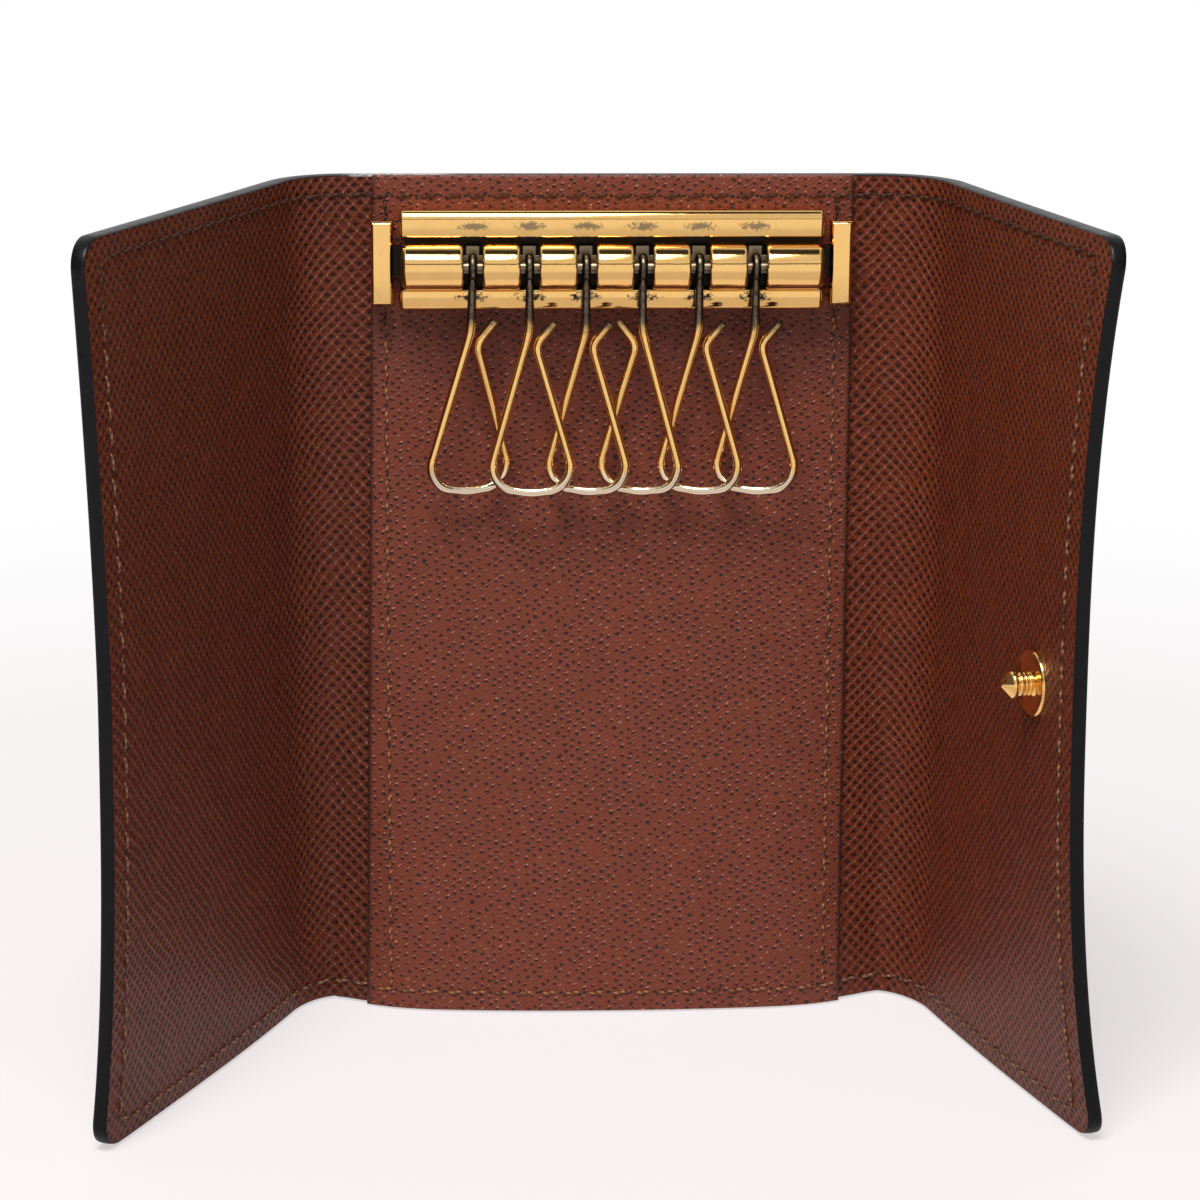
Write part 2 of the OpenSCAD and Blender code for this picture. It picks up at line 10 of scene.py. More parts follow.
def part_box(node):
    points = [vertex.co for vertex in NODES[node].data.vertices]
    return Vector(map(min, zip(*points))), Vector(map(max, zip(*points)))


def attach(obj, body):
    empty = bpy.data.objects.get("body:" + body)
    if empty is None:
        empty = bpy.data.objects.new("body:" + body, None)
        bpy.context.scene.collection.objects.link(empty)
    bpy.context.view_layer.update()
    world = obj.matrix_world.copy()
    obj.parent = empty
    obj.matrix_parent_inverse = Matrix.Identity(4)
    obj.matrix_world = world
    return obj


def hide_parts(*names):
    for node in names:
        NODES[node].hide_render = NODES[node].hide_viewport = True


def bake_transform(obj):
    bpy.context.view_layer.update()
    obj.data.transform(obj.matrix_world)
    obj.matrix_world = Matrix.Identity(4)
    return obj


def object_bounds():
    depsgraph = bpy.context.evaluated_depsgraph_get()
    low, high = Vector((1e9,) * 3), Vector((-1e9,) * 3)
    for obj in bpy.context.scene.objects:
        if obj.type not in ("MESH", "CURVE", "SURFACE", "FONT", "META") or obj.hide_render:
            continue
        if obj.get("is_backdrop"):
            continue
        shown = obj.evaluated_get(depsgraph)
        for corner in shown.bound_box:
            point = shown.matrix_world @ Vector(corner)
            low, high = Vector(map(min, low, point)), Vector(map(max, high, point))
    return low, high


MM = 0.001
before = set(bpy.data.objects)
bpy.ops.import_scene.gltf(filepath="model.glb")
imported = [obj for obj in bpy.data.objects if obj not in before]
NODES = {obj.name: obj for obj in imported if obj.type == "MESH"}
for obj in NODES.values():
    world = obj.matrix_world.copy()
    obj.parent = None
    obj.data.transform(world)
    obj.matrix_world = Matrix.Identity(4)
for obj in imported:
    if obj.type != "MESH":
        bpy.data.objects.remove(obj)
CAD_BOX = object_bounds()

# Sizes of the CAD model: the leather, with half the width of the centre and half the thickness of a wing
HEIGHT = 100.0
HALF = 28.0
FACE = 1.0
PATCH = 0.9
RADIUS = 5.95
CORNER = 3.5

# Sizes of the CAD model: the key bar and its hooks
ROD_Y, ROD_Z = -5.9, 90.1
HOOKS = 6
HOOK_PITCH = 6.5
HOOK_SHIFT = 0.25
FIRST_HOOK = HOOK_SHIFT - (HOOKS - 1) / 2 * HOOK_PITCH
BAR_HALF = 24.2
BAR_LOW, BAR_MID, BAR_HIGH = 84.7, 90.35, 96.0
TAB_END = 26.25
BARREL_R = 2.65
SLOT_HALF = 1.1

# Of each side: the flat run beside the centre, the fold's angle, how far the bending reaches into the wing,
# and the wing's length. The free edge flares at its top and foot (how far, and the power it rises with), and
# has a belly between them. The seam is measured from the free edge.
SIDES = {
    "left": {"hand": -1, "run": 4.2, "angle": 67.4, "soft": 5.2, "length": 49.6,
             "top": (0.87, 1.5), "foot": (0.87, 3.0), "belly": 1.31, "seam": 3.0},
    "right": {"hand": 1, "run": 5.0, "angle": 75.5, "soft": 8.0, "length": 46.9,
              "top": (0.8, 2.6), "foot": (1.58, 2.6), "belly": 2.49, "seam": 3.4},
}
# The leather turns on a wider curve than the CAD fold, on the same two tangents, so its bend starts early
SOFT_RADIUS = 9.0
for side in SIDES.values():
    side["early"] = (SOFT_RADIUS - RADIUS) * math.tan(math.radians(side["angle"] / 2.0))
    for key in ("run", "soft", "length"):
        side[key] -= side["early"]

# The centre's foot swells forward, out to SWELL_HALF on both sides, and the folds' feet stand back
SWELL, SWELL_HALF = 3.5, 33.0
FOLD_BACK, FOLD_PLACE, FOLD_WIDTH = 2.1, 33.5, 6.5
# The free edge is pressed thinner by this share over this width
PRESSED, PRESSED_WIDTH = 0.2, 5.0
# The panel's left side leans: in at the top, and out towards the foot by PANEL_LEAN in all
PANEL_TOP_IN, PANEL_LEAN = 0.5, 1.3
# Needle places of the panel's side seams from the middle, at the foot and at the top
SIDE_SEAM_FOOT, SIDE_SEAM_TOP = 25.9, 26.0

# Depth of the painted edge's round, and how far the leather's faces end before the cut edge
BEAD, FACE_INSET = 0.2, 0.16
# Steps of the sheets' grids
RUN_STEPS, FOLD_STEPS, CORNER_STEPS, WING_STEP = 4, 22, 10, 1.6
ROWS, COLUMNS, BEAD_STEPS = 64, 36, 8

# Length of a stitch, and the seams' distance from the cut edge
STITCH, SEAM = 2.74, 2.3
# Thread: half its width, its rise, its slant to the seam, its gap to the needle hole, and the hole's size
THREAD_HALF, THREAD_RISE, SLANT, HOLE_GAP, HOLE_SIZE = 0.19, 0.24, 0.16, 0.3, 0.22

# Distance along the wing and height of the stud and the socket, in the CAD model and as photographed
CAD_STUD, CAD_SOCKET = (35.4, 50.0), (33.62, 50.0)
STUD, SOCKET = (34.9, 49.4), (34.12, 49.4)

# Edges of the metal that bend by more than this stay sharp
SHARP = math.radians(32)

# Camera, fitted to the photograph. Focal length and shift are in the pixels of PICTURE.
PICTURE = 1200.0
FOCAL = 4057.3
SHIFT_X, SHIFT_Y = -12.0, -60.0
SENSOR = 36.0
PITCH, YAW, ROLL = 13.05, 2.74, 0.356
CAMERA_PLACE = (-21.85, -465.13, 164.53)

# Grains of the leather. cell: a cell's length and width. skew: share of a cell by which each row starts
# later. loose: how far cells leave their lattice. sway: how often and how far rows wander, with fine on a
# small scale. hole: radius of the smallest pit and what chance adds. fleck: share of the painted highlight
# on the flecks. ridge, micro: shares of the ridges and the fine noise. depth: of the bump, in metres.
# shine: specular level.
PEBBLED = {
    "crossed": False, "cell": (0.98, 0.86), "skew": 0.5, "loose": 0.42, "sway": (0.5, 0.9), "fine": 0.16,
    "hole": (0.12, 0.09), "fleck": 0.6, "ridge": 0.25, "micro": 0.4, "depth": 0.00011, "shine": 0.3,
}
CROSSED = {
    "crossed": True, "cell": (1.04, 1.04), "skew": 0.0, "loose": 0.2, "sway": (0.09, 2.2), "fine": 0.08,
    "hole": (0.16, 0.07), "fleck": 0.25, "ridge": 1.0, "micro": 0.35, "depth": 0.00015, "shine": 0.25,
}

# Colours of the grain's pits, of the painted highlight on its flecks, and of wear on the gold. The gold's
# dark dirt colour also paints the shade between the rails and inside the barrel.
PIT, PANEL_PIT, OUTER_PIT = (0.016, 0.006, 0.003), (0.03, 0.011, 0.008), (0.018, 0.007, 0.004)
PAINTED_FLECK_HIGHLIGHT = (0.62, 0.28, 0.21)
GRIME_AND_SHADE = (0.02, 0.015, 0.011)
TARNISH = (0.17, 0.13, 0.09)
RUBBED = (0.72, 0.66, 0.55)
WHITE = (1.0, 1.0, 1.0)


def make_camera():
    data = bpy.data.cameras.new("camera")
    cam = bpy.data.objects.new("camera", data)
    bpy.context.scene.collection.objects.link(cam)
    bpy.context.scene.camera = cam
    data.sensor_width = SENSOR
    data.lens = SENSOR * FOCAL / PICTURE
    data.shift_x = SHIFT_X / PICTURE
    data.shift_y = SHIFT_Y / PICTURE
    data.clip_start = 0.01
    data.clip_end = 20.0
    pitch, yaw, roll = math.radians(PITCH), math.radians(YAW), math.radians(ROLL)
    level = math.cos(pitch)
    forward = Vector((math.sin(yaw) * level, math.cos(yaw) * level, -math.sin(pitch)))
    right = Vector((math.cos(yaw), -math.sin(yaw), 0.0))
    up = right.cross(forward)
    x_axis = right * math.cos(roll) + up * math.sin(roll)
    y_axis = up * math.cos(roll) - right * math.sin(roll)
    placed = Matrix.Identity(4)
    for i in range(3):
        placed[i][0], placed[i][1], placed[i][2] = x_axis[i], y_axis[i], -forward[i]
    placed.translation = Vector(CAMERA_PLACE) * MM
    cam.matrix_world = placed


# Node trees
class Nodes:
    """Writes a node tree in a readable way."""

    def __init__(self, tree):
        self.tree = tree
        tree.nodes.clear()

    def new(self, kind):
        return self.tree.nodes.new("ShaderNode" + kind)

    def link(self, value, socket):
        """Feeds a socket from another one, or sets it to a plain value."""
        if isinstance(value, bpy.types.NodeSocket):
            self.tree.links.new(value, socket)
        elif socket.type == "RGBA" and len(value) == 3:
            socket.default_value = (*value, 1.0)
        else:
            socket.default_value = value

    def math(self, op, *values):
        n = self.new("Math")
        n.operation = op
        for value, socket in zip(values, n.inputs):
            self.link(value, socket)
        return n.outputs[0]

    def add(self, a, b):
        return self.math("ADD", a, b)

    def minus(self, a, b):
        return self.math("SUBTRACT", a, b)

    def times(self, a, b):
        return self.math("MULTIPLY", a, b)

    def inverse(self, value):
        return self.minus(1.0, value)

    def length(self, x, y):
        return self.math("SQRT", self.add(self.times(x, x), self.times(y, y)))

    def coords(self, kind):
        return self.new("TexCoord").outputs[kind]

    def split(self, vector):
        n = self.new("SeparateXYZ")
        self.link(vector, n.inputs[0])
        return n.outputs[0], n.outputs[1], n.outputs[2]

    def noise(self, vector, scale, detail=2.0, rough=0.5):
        n = self.new("TexNoise")
        self.link(vector, n.inputs["Vector"])
        n.inputs["Scale"].default_value = scale
        n.inputs["Detail"].default_value = detail
        n.inputs["Roughness"].default_value = rough
        return n.outputs["Fac"], n.outputs["Color"]

    def shift(self, vector, colour, amount):
        """vector moved by a centred colour times amount."""
        centred = self.new("VectorMath")
        centred.operation = "SUBTRACT"
        self.link(colour, centred.inputs[0])
        centred.inputs[1].default_value = (0.5, 0.5, 0.5)
        moved = self.new("VectorMath")
        moved.operation = "MULTIPLY_ADD"
        self.link(centred.outputs[0], moved.inputs[0])
        moved.inputs[1].default_value = (amount, amount, amount)
        self.link(vector, moved.inputs[2])
        return moved.outputs[0]

    def ramp(self, value, low, high):
        """0 below low and 1 above high, smooth between."""
        n = self.new("MapRange")
        n.interpolation_type = "SMOOTHSTEP"
        self.link(value, n.inputs[0])
        n.inputs[1].default_value = low
        n.inputs[2].default_value = high
        return n.outputs[0]

    def band(self, value, low, high, soft):
        """1 between low and high, with soft ends."""
        past = self.ramp(value, high, high + soft)
        return self.times(self.ramp(value, low - soft, low), self.inverse(past))

    def mix(self, share, a, b):
        """Colour a, or b where share is 1."""
        n = self.new("Mix")
        n.data_type = "RGBA"
        self.link(share, n.inputs[0])
        self.link(a, n.inputs[6])
        self.link(b, n.inputs[7])
        return n.outputs[2]

    def blend(self, share, a, b):
        """Number a, or b where share is 1."""
        n = self.new("Mix")
        n.data_type = "FLOAT"
        self.link(share, n.inputs[0])
        self.link(a, n.inputs[2])
        self.link(b, n.inputs[3])
        return n.outputs[0]

    def bump(self, height, distance, strength):
        n = self.new("Bump")
        self.link(height, n.inputs["Height"])
        n.inputs["Distance"].default_value = distance
        n.inputs["Strength"].default_value = strength
        return n.outputs[0]


class Paint(Nodes):
    """A new material with one principled shader."""

    def __init__(self, name):
        self.material = bpy.data.materials.new(name)
        self.material.use_nodes = True
        super().__init__(self.material.node_tree)
        self.out = self.new("OutputMaterial")
        self.bsdf = self.new("BsdfPrincipled")
        self.tree.links.new(self.bsdf.outputs[0], self.out.inputs[0])

    def set(self, **values):
        for name, value in values.items():
            self.link(value, self.bsdf.inputs[name.replace("_", " ")])


# Leather
def grain_lattice(n, place, lean, kind):
    """How many cells of the grain lie before a place, across and along rows that lean by an angle."""
    x, y, _ = n.split(place)
    c, s = math.cos(math.radians(lean)), math.sin(math.radians(lean))
    along = n.add(n.times(x, c), n.times(y, s))
    across = n.minus(n.times(y, c), n.times(x, s))
    cell_long, cell_wide = kind["cell"]
    row = n.math("DIVIDE", across, cell_wide)
    # each row of cells starts a share of a cell further on
    turn = n.add(n.math("DIVIDE", along, cell_long), n.times(row, kind["skew"]))
    return row, turn


def grain_cell(n, row, turn, kind):
    """Two random values of the cell at a place, and the place's way from its middle in millimetres."""
    both = n.new("CombineXYZ")
    n.link(turn, both.inputs[0])
    n.link(row, both.inputs[1])
    cell = n.new("TexVoronoi")
    cell.voronoi_dimensions = "2D"
    cell.inputs["Scale"].default_value = 1.0
    cell.inputs["Randomness"].default_value = kind["loose"]
    n.link(both.outputs[0], cell.inputs["Vector"])
    luck, second, _ = n.split(cell.outputs["Color"])
    middle_turn, middle_row, _ = n.split(cell.outputs["Position"])
    off_row = n.minus(row, middle_row)
    off_turn = n.minus(turn, middle_turn)
    off_turn = n.minus(off_turn, n.times(off_row, kind["skew"]))
    cell_long, cell_wide = kind["cell"]
    return luck, second, n.times(off_turn, cell_long), n.times(off_row, cell_wide)


def pits(n, along, across, luck, kind):
    """1 in the pit in a cell's middle, 0 outside. Cells with the least luck have none."""
    smallest, spread = kind["hole"]
    outside = n.minus(n.length(along, across), n.math("MULTIPLY_ADD", luck, spread, smallest))
    return n.times(n.inverse(n.ramp(outside, -0.05, 0.06)), n.ramp(luck, 0.05, 0.2))


def crossed_grain(n, uv, row, turn, kind):
    """Ridges along both ways of the lattice, with a painted highlight where they cross, and the shade on
    them.
    """
    lines = []
    for value in (row, turn):
        wave = n.times(n.minus(value, kind["loose"] / 2), 2 * math.pi)
        lines.append(n.math("POWER", n.math("MULTIPLY_ADD", n.math("COSINE", wave), -0.5, 0.5), 2.2))
    # the grain stands up where the leather bends and is pressed flatter on the wings
    from_middle = n.math("ABSOLUTE", n.split(uv)[0])
    upright = n.inverse(n.times(n.ramp(from_middle, 38.0, 54.0), 0.2))
    ridge = n.times(n.math("MAXIMUM", *lines), upright)
    patchy, _ = n.noise(uv, 0.8)
    fleck = n.times(n.ramp(n.times(*lines), 0.25, 0.75), n.ramp(patchy, 0.35, 0.6))
    return ridge, n.times(fleck, upright), n.times(upright, 0.14)


def pebbled_grain(n, uv, row, along, across, second):
    """Two low ridges in each row, a fleck with a painted highlight beside each pit, the painted shadow under
    the bar, and the darker cut sides.
    """
    ridge = n.math("MULTIPLY_ADD", n.math("SINE", n.times(row, 4 * math.pi)), 0.5, 0.5)
    far_along = n.math("DIVIDE", n.minus(along, 0.22), 0.27)
    far_across = n.math("DIVIDE", n.minus(across, 0.2), 0.13)
    fleck = n.inverse(n.ramp(n.length(far_along, far_across), 0.3, 1.0))
    fleck = n.times(fleck, n.ramp(second, 0.1, 0.8))
    x, z, _ = n.split(uv)
    # painted shadow of the bar on the panel below it
    painted_shadow_under_bar = n.times(n.band(z, 80.0, 84.0, 8.0), 0.22)
    cut_sides = n.times(n.ramp(n.math("ABSOLUTE", x), HALF - 0.6, HALF - 0.2), 0.75)
    return ridge, fleck, n.math("MAXIMUM", painted_shadow_under_bar, cut_sides)


def leather(name, dark, light, pit, lean, kind):
    """Embossed leather: ridges at an angle, and a pit and a painted-highlight fleck in each cell of the
    grain.
    """
    n = Paint(name)
    uv = n.coords("UV")
    wavelength, swing = kind["sway"]
    _, wobble = n.noise(uv, wavelength)
    _, fine = n.noise(uv, 3.0)
    place = n.shift(n.shift(uv, wobble, swing), fine, kind["fine"])
    row, turn = grain_lattice(n, place, lean, kind)
    luck, second, along, across = grain_cell(n, row, turn, kind)
    pitted = pits(n, along, across, luck, kind)
    if kind["crossed"]:
        ridge, fleck, shade = crossed_grain(n, uv, row, turn, kind)
    else:
        ridge, fleck, shade = pebbled_grain(n, uv, row, along, across, second)
    cloud, _ = n.noise(uv, 0.2, 3.0)
    micro, _ = n.noise(place, 5.0, 4.0, 0.7)
    height = n.add(n.times(ridge, kind["ridge"]), n.times(micro, kind["micro"]))
    height = n.add(height, n.times(fleck, 0.7))
    height = n.minus(height, pitted)
    tone = n.add(n.times(cloud, 0.35), n.times(micro, 0.45))
    tone = n.add(tone, n.times(ridge, 0.2))
    colour = n.mix(n.ramp(tone, 0.3, 0.7), dark, light)
    # painted highlight: the flecks are coloured pale pink
    colour = n.mix(n.times(fleck, kind["fleck"]), colour, PAINTED_FLECK_HIGHLIGHT)
    # the pits' colour also paints the shade, such as the panel's shadow under the bar
    colour = n.mix(n.math("MAXIMUM", pitted, shade), colour, pit)
    rough = n.minus(0.54, n.times(n.add(ridge, fleck), 0.08))
    n.set(Base_Color=colour, Normal=n.bump(height, kind["depth"], 0.9))
    n.set(Roughness=rough, Specular_IOR_Level=kind["shine"])
    return n.material


def edge_paint():
    """Glossy black edge paint, laid on by hand, so uneven, and worn brown or smeared pale in places."""
    n = Paint("edge_paint")
    place = n.coords("Object")
    swell, _ = n.noise(place, 260.0, 3.0)
    worn, _ = n.noise(place, 900.0, 4.0, 0.7)
    scuff = n.ramp(worn, 0.66, 0.76)
    x, _, z = n.split(place)
    smear = n.times(n.band(x, -0.0285, -0.0205, 0.003), n.ramp(z, 0.05, 0.06))
    smear = n.times(smear, n.ramp(worn, 0.35, 0.5))
    colour = n.mix(scuff, (0.004, 0.004, 0.005), (0.04, 0.028, 0.024))
    n.set(Base_Color=n.mix(smear, colour, (0.4, 0.39, 0.38)), Roughness=n.blend(scuff, 0.32, 0.55))
    n.set(Normal=n.bump(swell, 0.0005, 0.5), Specular_IOR_Level=0.16)
    return n.material


def thread_paint(name, dark, light):
    """Twisted tan thread, darker where it is soiled in spots, and towards the top of the case."""
    n = Paint(name)
    x, y, _ = n.split(n.coords("UV"))
    lay = n.math("SINE", n.add(n.times(x, 16.0), n.times(y, 9.0)))
    place = n.coords("Object")
    _, _, z = n.split(place)
    spots, _ = n.noise(place, 700.0, 3.0)
    colour = n.mix(n.ramp(lay, -0.9, 0.5), dark, light)
    dark_spots_and_top = n.math("MAXIMUM", n.ramp(spots, 0.5, 0.75), n.times(n.ramp(z, 0.085, 0.094), 0.85))
    colour = n.mix(dark_spots_and_top, colour, (0.04, 0.014, 0.007))
    n.set(Base_Color=colour, Roughness=0.62, Normal=n.bump(lay, 0.0001, 0.8), Specular_IOR_Level=0.2)
    return n.material


def hole_paint():
    n = Paint("needle_hole")
    spots, _ = n.noise(n.coords("Object"), 900.0)
    n.set(Base_Color=n.mix(spots, (0.006, 0.003, 0.002), (0.02, 0.009, 0.006)), Roughness=0.8)
    return n.material


# Metal paints, with up for the height over the rod
def slot_offset(n, x):
    """How far x is from the nearest hook's place along the bar."""
    turns = n.math("DIVIDE", n.minus(x, FIRST_HOOK), HOOK_PITCH)
    nearest = n.math("MINIMUM", n.math("MAXIMUM", n.math("ROUND", turns), 0.0), HOOKS - 1.0)
    return n.times(n.minus(turns, nearest), HOOK_PITCH)


def round_mark(n, across, half_width, up, half_height, noise):
    """Ragged oval smear: 1 in its middle, 0 outside."""
    far = n.length(n.math("DIVIDE", across, half_width), n.math("DIVIDE", up, half_height))
    return n.ramp(n.minus(n.math("MULTIPLY_ADD", noise, 2.4, -0.2), far), 0.0, 0.6)


def wear_of_rails(n, x, up, fine):
    """Tarnish above and below each hook, painted shade between the rails, and dark dirt in the lower marks.
    """
    off = slot_offset(n, x)
    heights = [n.minus(up, middle) for middle in (4.6, -3.7)]
    upper, lower = (round_mark(n, off, 2.0, height, 0.6, fine) for height in heights)
    # painted shade on the plate and its tabs between the rails
    between = n.band(up, -2.9, 3.25, 0.08)
    grime_and_shade = n.math("MAXIMUM", between, n.times(lower, n.ramp(fine, 0.4, 0.6)))
    return n.times(n.math("MAXIMUM", upper, lower), 0.8), grime_and_shade


def painted_shade_in_barrel(n, y, up):
    """Painted shade inside the barrel, by the square of the distance from the rod's middle."""
    squared = n.add(n.math("POWER", n.minus(y, ROD_Y), 2.0), n.math("POWER", up, 2.0))
    return n.inverse(n.ramp(squared, 5.6, 6.2))


def wear_of_hooks(n, up, cloud, fine):
    """Tarnish, with dark dirt in blotches, on the shank under the bar."""
    depth = n.add(up, n.times(n.minus(cloud, 0.5), 3.0))
    tarnish = n.ramp(depth, -8.2, -6.0)
    return tarnish, n.times(n.times(tarnish, n.ramp(fine, 0.42, 0.62)), 0.7)


def rubbed_hooks(n, up, cloud):
    """1 on the bottom of the loops, where keys hang, and on the eye's front."""
    bottom = n.inverse(n.ramp(n.add(up, n.times(cloud, 3.0)), -23.8, -21.4))
    return n.math("MAXIMUM", bottom, n.band(up, -0.6, 1.6, 0.3))


def gold(name, piece=None):
    """Polished gold plate, with what each kind of piece has of dirt, painted shade in recesses, tarnish and
    rubbed places.
    """
    n = Paint(name)
    place = n.coords("Object")
    x, y, z = (n.times(part, 1.0 / MM) for part in n.split(place))
    up = n.minus(z, ROD_Z)
    cloud, _ = n.noise(place, 420.0, 3.0)
    fine, _ = n.noise(place, 2600.0, 4.0, 0.65)
    colour = n.mix(cloud, (0.87, 0.51, 0.17), (0.94, 0.59, 0.22))
    rough = n.math("MULTIPLY_ADD", fine, 0.1, 0.05)
    tarnish, grime_and_shade = n.times(n.ramp(cloud, 0.62, 0.75), 0.1), 0.0
    if piece == "rails":
        tarnish, grime_and_shade = wear_of_rails(n, x, up, fine)
    elif piece == "barrel":
        grime_and_shade = painted_shade_in_barrel(n, y, up)
    elif piece == "hooks":
        tarnish, grime_and_shade = wear_of_hooks(n, up, cloud, fine)
        colour = n.mix(n.times(rubbed_hooks(n, up, cloud), 0.75), colour, RUBBED)
    # the dark colour is dirt on the rails and the hooks, and painted shade between the rails and inside the
    # barrel
    colour = n.mix(grime_and_shade, n.mix(tarnish, colour, TARNISH), GRIME_AND_SHADE)
    worn = n.math("MAXIMUM", tarnish, grime_and_shade)
    n.set(Base_Color=colour, Metallic=1.0, Roughness=n.math("MULTIPLY_ADD", worn, 0.25, rough))
    n.set(Normal=n.bump(n.add(cloud, n.times(fine, 0.25)), 0.00003, 0.5))
    return n.material


def dull_metal(name, dark, light, rough):
    n = Paint(name)
    cloud, _ = n.noise(n.coords("Object"), 900.0, 4.0, 0.6)
    n.set(Base_Color=n.mix(cloud, dark, light), Metallic=1.0)
    n.set(Roughness=n.math("MULTIPLY_ADD", cloud, 0.2, rough), Normal=n.bump(cloud, 0.00005, 0.4))
    return n.material


# Sheet shapes
def belly(x, z):
    """How far the foot of the case lies off its plane, in Y: the panel swells and the folds stand back."""
    across = max(0.0, 1.0 - (x / SWELL_HALF) ** 2)
    down = max(0.0, 1.0 - z / HEIGHT)
    at_fold = math.exp(-((abs(x) - FOLD_PLACE) / FOLD_WIDTH) ** 2)
    return (-SWELL * across**0.6 + FOLD_BACK * at_fold) * down**2.0


def centre_point(x, y, z):
    return Vector((x, y + belly(x, z), z)) * MM


def fold_length(side):
    return SOFT_RADIUS * math.radians(side["angle"])


def total_length(side):
    return side["run"] + fold_length(side) + side["length"]


def wing_point(side, wing):
    """X and Y of the sheet's middle on the flat wing, at wing past the fold's end."""
    angle = math.radians(side["angle"])
    x = HALF + side["run"] + SOFT_RADIUS * math.sin(angle) + wing * math.cos(angle)
    return x, -SOFT_RADIUS * (1 - math.cos(angle)) - wing * math.sin(angle)


def sheet_point(side, s, z, v):
    """Point at s along the sheet from the centre's edge, at height z, v outside its middle."""
    run = side["run"]
    wing = 0.0
    if s <= run:
        x, y, turn = HALF + s, 0.0, 0.0
    elif s <= run + fold_length(side):
        turn = (s - run) / SOFT_RADIUS
        x, y = HALF + run + SOFT_RADIUS * math.sin(turn), -SOFT_RADIUS * (1 - math.cos(turn))
    else:
        turn = math.radians(side["angle"])
        wing = s - run - fold_length(side)
        x, y = wing_point(side, wing)
    v *= 1.0 - PRESSED * max(0.0, 1.0 - (total_length(side) - s) / PRESSED_WIDTH) ** 1.5
    # from -1 at the foot to 1 at the top
    level = 2.0 * z / HEIGHT - 1.0
    flare, power = side["top"] if level > 0.0 else side["foot"]
    end = abs(level) ** power
    v += (wing / side["length"]) ** 1.5 * (flare * end - side["belly"] * (1.0 - end))
    y += belly(x, z)
    return Vector((side["hand"] * (x + v * math.sin(turn)), y + v * math.cos(turn), z)) * MM


def sheet_steps(side, inset):
    """Values of s from the centre's edge to the free edge, closer in the fold and at the corner."""
    run, bend, total = side["run"], fold_length(side), total_length(side) - inset
    out = [run * i / RUN_STEPS for i in range(RUN_STEPS)]
    out += [run + bend * i / FOLD_STEPS for i in range(FOLD_STEPS)]
    start = run + bend
    corner = total - (CORNER - inset)
    count = int((corner - start) / WING_STEP)
    out += [start + (corner - start) * i / count for i in range(count)]
    angles = [math.pi / 2 * i / CORNER_STEPS for i in range(CORNER_STEPS + 1)]
    out += [corner + (CORNER - inset) * math.sin(a) for a in angles]
    return out


def corner_drop(side, s, inset):
    """How far the rounded corner takes the sheet's end in at s."""
    r = CORNER - inset
    into = s - (total_length(side) - CORNER)
    if into <= 0.0:
        return inset
    return inset + r - math.sqrt(max(0.0, r * r - into * into))


def new_object(name, bm, *materials):
    mesh = bpy.data.meshes.new(name)
    bm.to_mesh(mesh)
    bm.free()
    for material in materials:
        mesh.materials.append(material)
    mesh.shade_smooth()
    obj = bpy.data.objects.new(name, mesh)
    bpy.context.scene.collection.objects.link(obj)
    return obj


def set_uv(face, layer, values):
    for loop in face.loops:
        loop[layer].uv = values[loop.vert]


def sheet_face(name, side, v, material):
    """One face of the sheet as a grid with its real length and height as UV, in millimetres."""
    bm = bmesh.new()
    layer = bm.loops.layers.uv.new("UVMap")
    grid, uvs = [], {}
    for s in sheet_steps(side, FACE_INSET):
        drop = corner_drop(side, s, FACE_INSET)
        column = []
        for j in range(ROWS + 1):
            z = drop + (HEIGHT - 2 * drop) * j / ROWS
            vert = bm.verts.new(sheet_point(side, s, z, v))
            uvs[vert] = (side["hand"] * (s + HALF), z)
            column.append(vert)
        grid.append(column)
    flip = (side["hand"] > 0) == (v > 0)
    for a, b in zip(grid, grid[1:]):
        for j in range(ROWS):
            corners = [a[j], b[j], b[j + 1], a[j + 1]]
            set_uv(bm.faces.new(corners[::-1] if flip else corners), layer, uvs)
    return new_object(name, bm, material)


def edge_path(side):
    """Stations round the three cut edges: s, z and the way out of the sheet in s and z."""
    total = total_length(side)
    steps = [s for s in sheet_steps(side, 0.0) if s < total - CORNER + 0.01]
    corner_steps, edge_steps = 12, 56
    inner, top, foot = total - CORNER, HEIGHT - CORNER, CORNER
    angles = [math.pi / 2 * i / corner_steps for i in range(corner_steps + 1)]
    out = [(s, HEIGHT, 0.0, 1.0) for s in steps]
    out += [(inner + CORNER * math.sin(a), top + CORNER * math.cos(a), math.sin(a), math.cos(a))
            for a in angles[1:]]
    out += [(total, top - (HEIGHT - 2 * CORNER) * i / edge_steps, 1.0, 0.0) for i in range(1, edge_steps)]
    out += [(inner + CORNER * math.cos(a), foot - CORNER * math.sin(a), math.cos(a), -math.sin(a))
            for a in angles]
    out += [(s, 0.0, 0.0, -1.0) for s in reversed(steps[:-1])]
    return out


def bead_profile():
    """Round of the painted edge: pairs of the way out from the cut edge and the place in its thickness."""
    out = []
    for i in range(BEAD_STEPS + 1):
        a = math.pi * i / BEAD_STEPS - math.pi / 2
        full = math.cos(a) ** 0.8 if math.cos(a) > 1e-6 else 0.0
        # the bottom stays on the ground, so the bead's crown is at the sheet's own edge
        out.append((full * BEAD - BEAD, math.sin(a) * FACE * 1.01))
    return out


def join_rings(bm, rings, closed):
    """Faces between neighbouring rings of points, which close on themselves or stay open strips."""
    for a, b in zip(rings, rings[1:]):
        for i in range(len(a) if closed else len(a) - 1):
            j = (i + 1) % len(a)
            bm.faces.new([a[i], a[j], b[j], b[i]])


